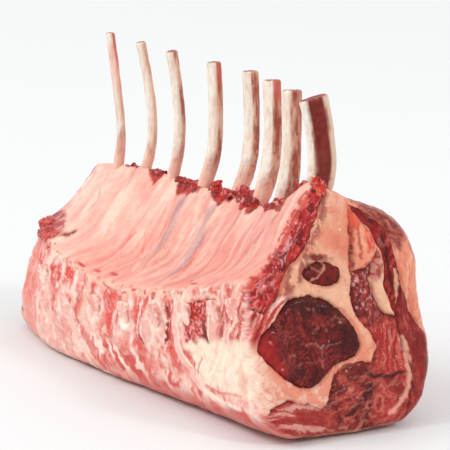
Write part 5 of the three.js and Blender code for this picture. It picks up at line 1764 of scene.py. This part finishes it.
# ------------------------------------------------------------------ materials
def tissue_group():
    """Shared by every meat and fat material: fine colour, wetness and relief from the paint."""
    tree = bpy.data.node_groups.get("Tissue")
    if tree:
        return tree
    tree = bpy.data.node_groups.new("Tissue", "ShaderNodeTree")
    face = tree.interface
    for name, kind, default in (
        ("Tint", "NodeSocketColor", (0.6, 0.2, 0.15, 1)),
        ("Shade", "NodeSocketColor", (1, 1, 1, 1)),
        ("Wet", "NodeSocketFloat", 0.5),
        ("Grain", "NodeSocketFloat", 0.5),
        ("Mottling", "NodeSocketFloat", 0.3),
        ("Dry Roughness", "NodeSocketFloat", 0.5),
        ("Wet Roughness", "NodeSocketFloat", 0.2),
    ):
        socket = face.new_socket(name, in_out="INPUT", socket_type=kind)
        socket.default_value = default
    for name, kind in (("Base Color", "NodeSocketColor"), ("Roughness", "NodeSocketFloat"),
                       ("Coat", "NodeSocketFloat"), ("Height", "NodeSocketFloat")):
        face.new_socket(name, in_out="OUTPUT", socket_type=kind)
    source = tree.nodes.new("NodeGroupInput")
    result = tree.nodes.new("NodeGroupOutput")
    at = tree.nodes.new("ShaderNodeTexCoord").outputs["Object"]

    def noise(scale, detail, seed):
        node = tree.nodes.new("ShaderNodeTexNoise")
        node.noise_dimensions = "4D"
        for name, value in (("Scale", scale), ("Detail", detail), ("Roughness", 0.6), ("W", seed)):
            node.inputs[name].default_value = value
        tree.links.new(at, node.inputs["Vector"])
        return node.outputs["Fac"]

    def maths(operation, a, b, clamp=False):
        node = tree.nodes.new("ShaderNodeMath")
        node.operation = operation
        node.use_clamp = clamp
        for value, socket in ((a, node.inputs[0]), (b, node.inputs[1])):
            if isinstance(value, bpy.types.NodeSocket):
                tree.links.new(value, socket)
            else:
                socket.default_value = value
        return node.outputs[0]

    broad, fine, tiny = noise(260, 3, 1.0), noise(900, 3, 4.0), noise(2400, 2, 7.0)
    grainy = maths("MULTIPLY", source.outputs["Grain"], 0.7)
    broad_swing = maths("SUBTRACT", broad, 0.5)
    fine_swing = maths("MULTIPLY", maths("SUBTRACT", fine, 0.5), maths("ADD", grainy, 0.4))
    swing = maths("ADD", broad_swing, fine_swing)
    swing = maths("MULTIPLY", swing, source.outputs["Mottling"])
    value = maths("ADD", swing, 1.0)
    # greens and blues swing twice as much as red, as they do from lean to fat
    split = tree.nodes.new("ShaderNodeSeparateColor")
    join = tree.nodes.new("ShaderNodeCombineColor")
    shaded = tree.nodes.new("ShaderNodeVectorMath")
    shaded.operation = "MULTIPLY"
    tree.links.new(source.outputs["Tint"], shaded.inputs[0])
    tree.links.new(source.outputs["Shade"], shaded.inputs[1])
    tree.links.new(shaded.outputs[0], split.inputs[0])
    strong = maths("POWER", value, 2.0)
    for k, factor in enumerate((value, strong, strong)):
        tree.links.new(maths("MULTIPLY", split.outputs[k], factor, True), join.inputs[k])
    tree.links.new(join.outputs[0], result.inputs["Base Color"])
    uneven = maths("MULTIPLY", maths("SUBTRACT", fine, 0.5), 0.5)
    dry = maths("ADD", source.outputs["Dry Roughness"], uneven)
    span = maths("SUBTRACT", source.outputs["Wet Roughness"], dry)
    rough = maths("ADD", dry, maths("MULTIPLY", span, source.outputs["Wet"]))
    tree.links.new(rough, result.inputs["Roughness"])
    tree.links.new(maths("MULTIPLY", source.outputs["Wet"], 0.3), result.inputs["Coat"])
    bumps = maths("MULTIPLY", tiny, 0.35)
    height = maths("ADD", maths("MULTIPLY", fine, 0.65), bumps)
    height = maths("MULTIPLY", height, maths("ADD", source.outputs["Grain"], 0.25))
    tree.links.new(height, result.inputs["Height"])
    return tree


def tissue_material(name, looks, shade, mottling=0.3, dry=0.5, wet=0.22, bump=0.6):
    """A painted surface of meat, fat or bone, in the shade the looks ask for."""
    material = bpy.data.materials.new(name)
    material.use_nodes = True
    tree = material.node_tree
    shader = tree.nodes["Principled BSDF"]
    group = tree.nodes.new("ShaderNodeGroup")
    group.node_tree = tissue_group()
    for node, values in (
        (group, {"Shade": (*shade, 1), "Mottling": mottling, "Dry Roughness": dry,
                 "Wet Roughness": wet}),
        (shader, {"Coat Roughness": 0.12, "Specular IOR Level": 0.08,
                  "Subsurface Weight": looks.glow, "Subsurface Radius": (1.0, 0.35, 0.22),
                  "Subsurface Scale": 0.002}),
    ):
        for socket, value in values.items():
            node.inputs[socket].default_value = value
    for attribute, output, socket in (("tint", "Color", "Tint"), ("wet", "Fac", "Wet"),
                                      ("grain", "Fac", "Grain")):
        node = tree.nodes.new("ShaderNodeAttribute")
        node.attribute_name = attribute
        tree.links.new(node.outputs[output], group.inputs[socket])
    relief = tree.nodes.new("ShaderNodeBump")
    relief.inputs["Strength"].default_value = bump
    relief.inputs["Distance"].default_value = looks.relief
    tree.links.new(group.outputs["Height"], relief.inputs["Height"])
    tree.links.new(relief.outputs["Normal"], shader.inputs["Normal"])
    for output, socket in (("Base Color", "Base Color"), ("Roughness", "Roughness"),
                           ("Coat", "Coat Weight")):
        tree.links.new(group.outputs[output], shader.inputs[socket])
    return material


def plain_material(name, colour, roughness):
    """A surface of one colour, for the stage."""
    material = bpy.data.materials.new(name)
    material.use_nodes = True
    shader = material.node_tree.nodes["Principled BSDF"]
    shader.inputs["Base Color"].default_value = (*colour, 1)
    shader.inputs["Roughness"].default_value = roughness
    return material


# ------------------------------------------------------------------ pieces
def length(name, description, default, low, high):
    return bpy.props.FloatProperty(
        name=name, description=description, default=default, min=low, max=high, unit="LENGTH")


def factor(name, description, default, low, high):
    return bpy.props.FloatProperty(
        name=name, description=description, default=default, min=low, max=high, subtype="FACTOR")


def colour(name, description, default):
    return bpy.props.FloatVectorProperty(
        name=name, description=description, default=default, min=0, max=1, size=3, subtype="COLOR")


class RackSizes(bpy.types.PropertyGroup):
    """Sizes of the rack's mesh and its stage"""
    ring_step: length("Ring Step", "Distance between the rings of a layer", 0.00095, 0.0006, 0.005)
    near_step: length(
        "Near Cut Step", "Distance between points on the near cut", 0.00062, 0.0004, 0.004)
    far_step: length(
        "Far Cut Step", "Distance between points on the far cut", 0.001, 0.0005, 0.004)
    bone_step: length("Bone Step", "Distance between the rings of a bone", 0.0008, 0.0004, 0.004)
    trim_scale: factor("Trimming Size", "How large the torn lumps on the crest are", 1.0, 0.2, 2.0)
    floor_size: length("Floor Size", "Length of each side of the floor", 8.0, 1.0, 50.0)


class RackLooks(bpy.types.PropertyGroup):
    """Colours and surface of the rack and its stage"""
    lean_shade: colour("Lean Shade", "Multiplies the paint of the lean", (1, 1, 1))
    fat_shade: colour("Fat Shade", "Multiplies the paint of the fat and the membrane", (1, 1, 1))
    bone_shade: colour("Bone Shade", "Multiplies the paint of the bones", (1, 1, 1))
    relief: length("Fine Relief", "Depth of the finest grain of every surface", 0.001, 0, 0.004)
    glow: factor("Glow", "Share of the light that passes below the surface", 0.04, 0, 1)
    floor_colour: colour("Floor", "Colour of the floor", (0.775, 0.785, 0.787))
    room_colour: colour("Room", "Colour of the light from all round", (0.95, 0.95, 0.955))


SLOTS = {
    "rib_wall": "rib_membrane", "fat_bed": "fat", "outer_fat": "fat", "cap_lean": "lean",
    "cap_flap": "fat", "fat_strip": "fat", "outer_lean": "lean", "back_muscle": "lean",
    "loin_eye": "dark_lean", "eye_companion": "dark_lean",
}


def build_layer(scene, name, outline, holes, narrow, seed, ring_stride=1):
    """Builds the painted piece that stands for the node of one layer or muscle."""
    sizes, looks = scene.rack_sizes, scene.rack_looks
    steps = (sizes.near_step / MM, sizes.far_step / MM)
    layer = Layer(outline, holes, ring_stride * sizes.ring_step / MM, steps, PROUD[name], narrow, seed)
    obj = mesh_object(name + "_flesh", layer.verts, layer.quads, layer.triangles,
                      paint_layer(name, layer))
    shade = looks.lean_shade if "lean" in SLOTS[name] else looks.fat_shade
    finish_piece(obj, tissue_material(name, looks, shade), SLOTS[name], name)


class RACK_OT_layers(bpy.types.Operator):
    """Build the layers of lean, fat and membrane that run the length of the rack"""
    bl_idname = "rack.layers"
    bl_label = "Layers"

    def execute(self, context):
        for k, (name, seams) in enumerate(LAYERS.items()):
            bored = name == "fat_bed"
            holes = [muscle_outline(EYE), muscle_outline(COMPANION)] if bored else ()
            build_layer(context.scene, name, outline_of(seams), holes, (1,) if bored else (), k)
        return {"FINISHED"}


class RACK_OT_muscles(bpy.types.Operator):
    """Build the two dark muscles that lie in the bed of fat"""
    bl_idname = "rack.muscles"
    bl_label = "Loin Muscles"

    def execute(self, context):
        for name, knots, narrow in (("loin_eye", EYE, (0,)), ("eye_companion", COMPANION, ())):
            build_layer(context.scene, name, muscle_outline(knots), (), narrow, 20, ring_stride=4)
        return {"FINISHED"}


# the lumps in each gap: the middle of the gap and half its width, how many lumps, how big they are
# and how high they are heaped; then the tuft on the near peak
TRIMMINGS = (
    (-76, 7.0, 5, 1.5, 0.0), (-50, 6.5, 7, 2.4, 0.4), (-18, 8.0, 10, 3.2, 2.2),
    (13.5, 8.5, 12, 3.4, 4.0), (41, 9.0, 13, 3.6, 5.0), (73, 8.5, 11, 3.6, 2.6),
    (97, 6.0, 8, 3.4, 1.0),
)
TUFT = {"x": 133, "spread": 10, "across": 0.62, "count": 16, "size": (1.7, 1.7, 2.9)}
# the lumps at the far corner: share of the way down, x, half sizes and colour
FAR_LUMPS = (
    (1.00, -108, (10.0, 5.0, 5.5), (0.62, 0.06, 0.045)),
    (1.00, -95, (11.0, 4.6, 4.6), (0.52, 0.035, 0.03)),
    (0.96, -84, (9.0, 4.4, 4.0), (0.64, 0.08, 0.06)),
    (0.91, -79, (6.4, 4.0, 3.0), (0.70, 0.16, 0.11)),
    (0.97, -73, (5.6, 3.6, 3.0), (0.74, 0.22, 0.16)),
)


def crest_spot(x, across):
    """A point on the crest: across is 0 at the membrane's edge and 1 at the back of the wall."""
    inside, back = np.array(SEAMS["pleura"][-1]), np.array(SEAMS["strip_inside"][-1])
    y, z = mix(inside, back, across)
    return place(y, z, min(1.0, share_at(y, z, x)))


def ball():
    """The corners and triangles of an even ball of radius 1."""
    mesh = bmesh.new()
    bmesh.ops.create_icosphere(mesh, subdivisions=4, radius=1)
    corners = np.array([vert.co[:] for vert in mesh.verts])
    triangles = np.array([[vert.index for vert in face.verts] for face in mesh.faces])
    mesh.free()
    return corners, triangles


def lump(corners, centre, size, lean, seed):
    """A torn lump of meat: a stretched ball with creases, its top leaning by lean millimetres."""
    creases = fbm(corners * 10 + seed * 31.0, (6, 6, 9), 3, seed % 8)
    grooves = np.abs(fbm(corners * 10 + seed * 17.0, (9, 9, 5), 3, (seed + 3) % 8))
    points = corners * (1 + 0.30 * creases - 0.16 * grooves)[:, None] * np.array(size)
    points[:, :2] += (np.clip(points[:, 2], 0, None) / size[2])[:, None] ** 2 * np.array(lean)
    return points + centre


class RACK_OT_trimmings(bpy.types.Operator):
    """Build the torn red meat left on the crest between the bones"""
    bl_idname = "rack.trimmings"
    bl_label = "Crest Trimmings"

    def execute(self, context):
        sizes, looks = context.scene.rack_sizes, context.scene.rack_looks
        rng = np.random.default_rng(5)
        corners, triangles = ball()
        points, paints, faces = [], [], []

        def add(centre, size, lean, colour, pale):
            seed = len(points)
            verts = lump(corners, centre, size * sizes.trim_scale, lean, seed)
            paint = Paint(len(verts), colour, 0.95, 1.0)
            hollow = np.linalg.norm((verts - centre) / size, axis=1)
            paint.over(0.8 * ramp(fbm(verts, 3.2, 3, seed % 8), 0.0, 0.3), DEEP_RED)
            # painted shade in the hollows of each lump's creases, and painted highlights on its glints,
            # as strong as pale asks
            paint.over(0.7 * (1 - ramp(hollow, 0.7, 0.95)), (0.16, 0.006, 0.006))
            glints = ramp(fbm(verts, (2, 2, 3), 3, (seed + 3) % 8), 0.1, 0.35)
            paint.over(pale * glints, (0.84, 0.36, 0.30))
            faces.append(triangles + len(corners) * seed)
            points.append(verts)
            paints.append(paint)

        for middle, half, count, big, high in TRIMMINGS:
            for n in range(count):
                across = rng.uniform(0.1, 1.1)
                x = middle - 7 * across + rng.uniform(-half, half)
                level = high * (1 - abs(n % 3 - 1) * 0.6) * rng.uniform(0.2, 1.0)
                centre = crest_spot(x, across) + [0, 0, rng.uniform(-2.2, -0.4) + level]
                size = big * rng.uniform(0.7, 1.15, 3) * [1.2, 0.9, 0.85]
                colour = ((0.42, 0.025, 0.022), (0.55, 0.035, 0.028), (0.28, 0.016, 0.014))[n % 3]
                add(centre, size, rng.uniform(-1.5, 1.5, 2), colour, rng.choice([0.15, 0.4, 0.8]))
        # the tuft on the near peak
        for n in range(TUFT["count"]):
            x = TUFT["x"] - rng.uniform(0, TUFT["spread"])
            centre = crest_spot(x, rng.uniform(0.0, TUFT["across"]))
            centre = centre + [rng.uniform(-1, 2), 0, rng.uniform(-4.0, 0.5)]
            size = np.array(TUFT["size"]) * rng.uniform(0.7, 1.25, 3)
            add(centre, size, rng.uniform(-2.2, 2.2, 2), BRIGHT_RED if n % 3 else (0.74, 0.12, 0.05),
                rng.choice([0.3, 0.8]))
        # red lumps that hang over the far corner of the shelf
        wall = SEAM_POINTS["pleura"]
        for down, x, size, colour in FAR_LUMPS:
            y, z = wall[round((1 - down) * (len(wall) - 1))]
            centre = place(y, z, share_at(y, z, x)) + [0, 1.4, -2.4]
            add(centre, np.array(size), rng.uniform(-1, 1, 2), colour, 0.35)
        whole = Paint(sum(len(part) for part in points), RED)
        for name in ("rgb", "wet", "grain"):
            setattr(whole, name, np.concatenate([getattr(part, name) for part in paints]))
        no_quads = np.empty((0, 4), int)
        obj = mesh_object("crest_trim", np.vstack(points), no_quads, np.vstack(faces), whole)
        finish_piece(obj, tissue_material("crest_trim", looks, looks.lean_shade, 0.35), "lean")
        return {"FINISHED"}


class RACK_OT_bones(bpy.types.Operator):
    """Build the eight rib bones"""
    bl_idname = "rack.bones"
    bl_label = "Rib Bones"

    def execute(self, context):
        sizes, looks = context.scene.rack_sizes, context.scene.rack_looks
        material = tissue_material("bone", looks, looks.bone_shade, 0.22, 0.5, 0.3, 0.3)
        for i in range(RIB_COUNT):
            verts, quads, triangles, facing = bone_mesh(i, sizes.bone_step / MM)
            paint = paint_bone(i, verts, facing)
            obj = mesh_object(f"rib_{i + 1}", verts, quads, triangles, paint)
            finish_piece(obj, material, "bone", f"rib_bone_{i + 1}")
        return {"FINISHED"}


# the lamps (name, place, side and power) and the camera, in metres and watts; its lens and sensor
# are in millimetres
LAMPS = (("key", (-2.2, -4.4, 5.5), 2.8, 195), ("fill", (2.6, 0.9, 2.2), 0.55, 24))
CAMERA = {
    "lens": 200, "sensor_width": 36,
    "at": (0.9999, -0.6604, 0.3406), "target": (-0.0118, 0.022, 0.07),
}


def aim(obj, at, target):
    """Puts a lamp or camera at a point and turns it to its target."""
    at = Vector(at)
    obj.location = at
    obj.rotation_euler = (Vector(target) - at).to_track_quat("-Z", "Y").to_euler()


class RACK_OT_stage(bpy.types.Operator):
    """Build the floor, the light and the camera"""
    bl_idname = "rack.stage"
    bl_label = "Stage"

    def execute(self, context):
        scene = context.scene
        sizes, looks = scene.rack_sizes, scene.rack_looks
        scene.view_settings.view_transform = "Standard"
        bpy.ops.mesh.primitive_plane_add(size=sizes.floor_size, location=(0, 0, -0.0005))
        floor = context.object
        floor.name = "floor"
        floor.data.materials.append(plain_material("floor", looks.floor_colour, 0.6))
        world = bpy.data.worlds.new("studio")
        world.use_nodes = True
        room = world.node_tree.nodes["Background"]
        room.inputs["Color"].default_value = (*looks.room_colour, 1)
        room.inputs["Strength"].default_value = 0.95
        scene.world = world
        for name, at, size, power in LAMPS:
            data = bpy.data.lights.new(name, "AREA")
            data.size = size
            data.energy = power
            lamp = bpy.data.objects.new(name, data)
            aim(lamp, at, (0, 0, 0.06))
            scene.collection.objects.link(lamp)
        data = bpy.data.cameras.new("camera")
        data.lens = CAMERA["lens"]
        data.sensor_width = CAMERA["sensor_width"]
        camera = bpy.data.objects.new("camera", data)
        aim(camera, CAMERA["at"], CAMERA["target"])
        scene.collection.objects.link(camera)
        scene.camera = camera
        return {"FINISHED"}


class RACK_PT_panel(bpy.types.Panel):
    """The steps that build the rack"""
    bl_idname = "RACK_PT_panel"
    bl_label = "Rack of Lamb"
    bl_space_type = "VIEW_3D"
    bl_region_type = "UI"
    bl_category = "Rack"

    def draw(self, context):
        for step in STEPS:
            self.layout.operator(step.bl_idname)
        for group in (context.scene.rack_sizes, context.scene.rack_looks):
            for name in group.__annotations__:
                self.layout.prop(group, name)


STEPS = (RACK_OT_layers, RACK_OT_muscles, RACK_OT_bones, RACK_OT_trimmings, RACK_OT_stage)
CLASSES = (RackSizes, RackLooks, *STEPS, RACK_PT_panel)


def register():
    for cls in CLASSES:
        bpy.utils.register_class(cls)
    bpy.types.Scene.rack_sizes = bpy.props.PointerProperty(type=RackSizes)
    bpy.types.Scene.rack_looks = bpy.props.PointerProperty(type=RackLooks)


def unregister():
    del bpy.types.Scene.rack_looks
    del bpy.types.Scene.rack_sizes
    for cls in reversed(CLASSES):
        bpy.utils.unregister_class(cls)


def main():
    register()
    bpy.ops.rack.layers()
    bpy.ops.rack.muscles()
    bpy.ops.rack.bones()
    bpy.ops.rack.trimmings()
    bpy.ops.rack.stage()


if __name__ == "__main__":
    main()
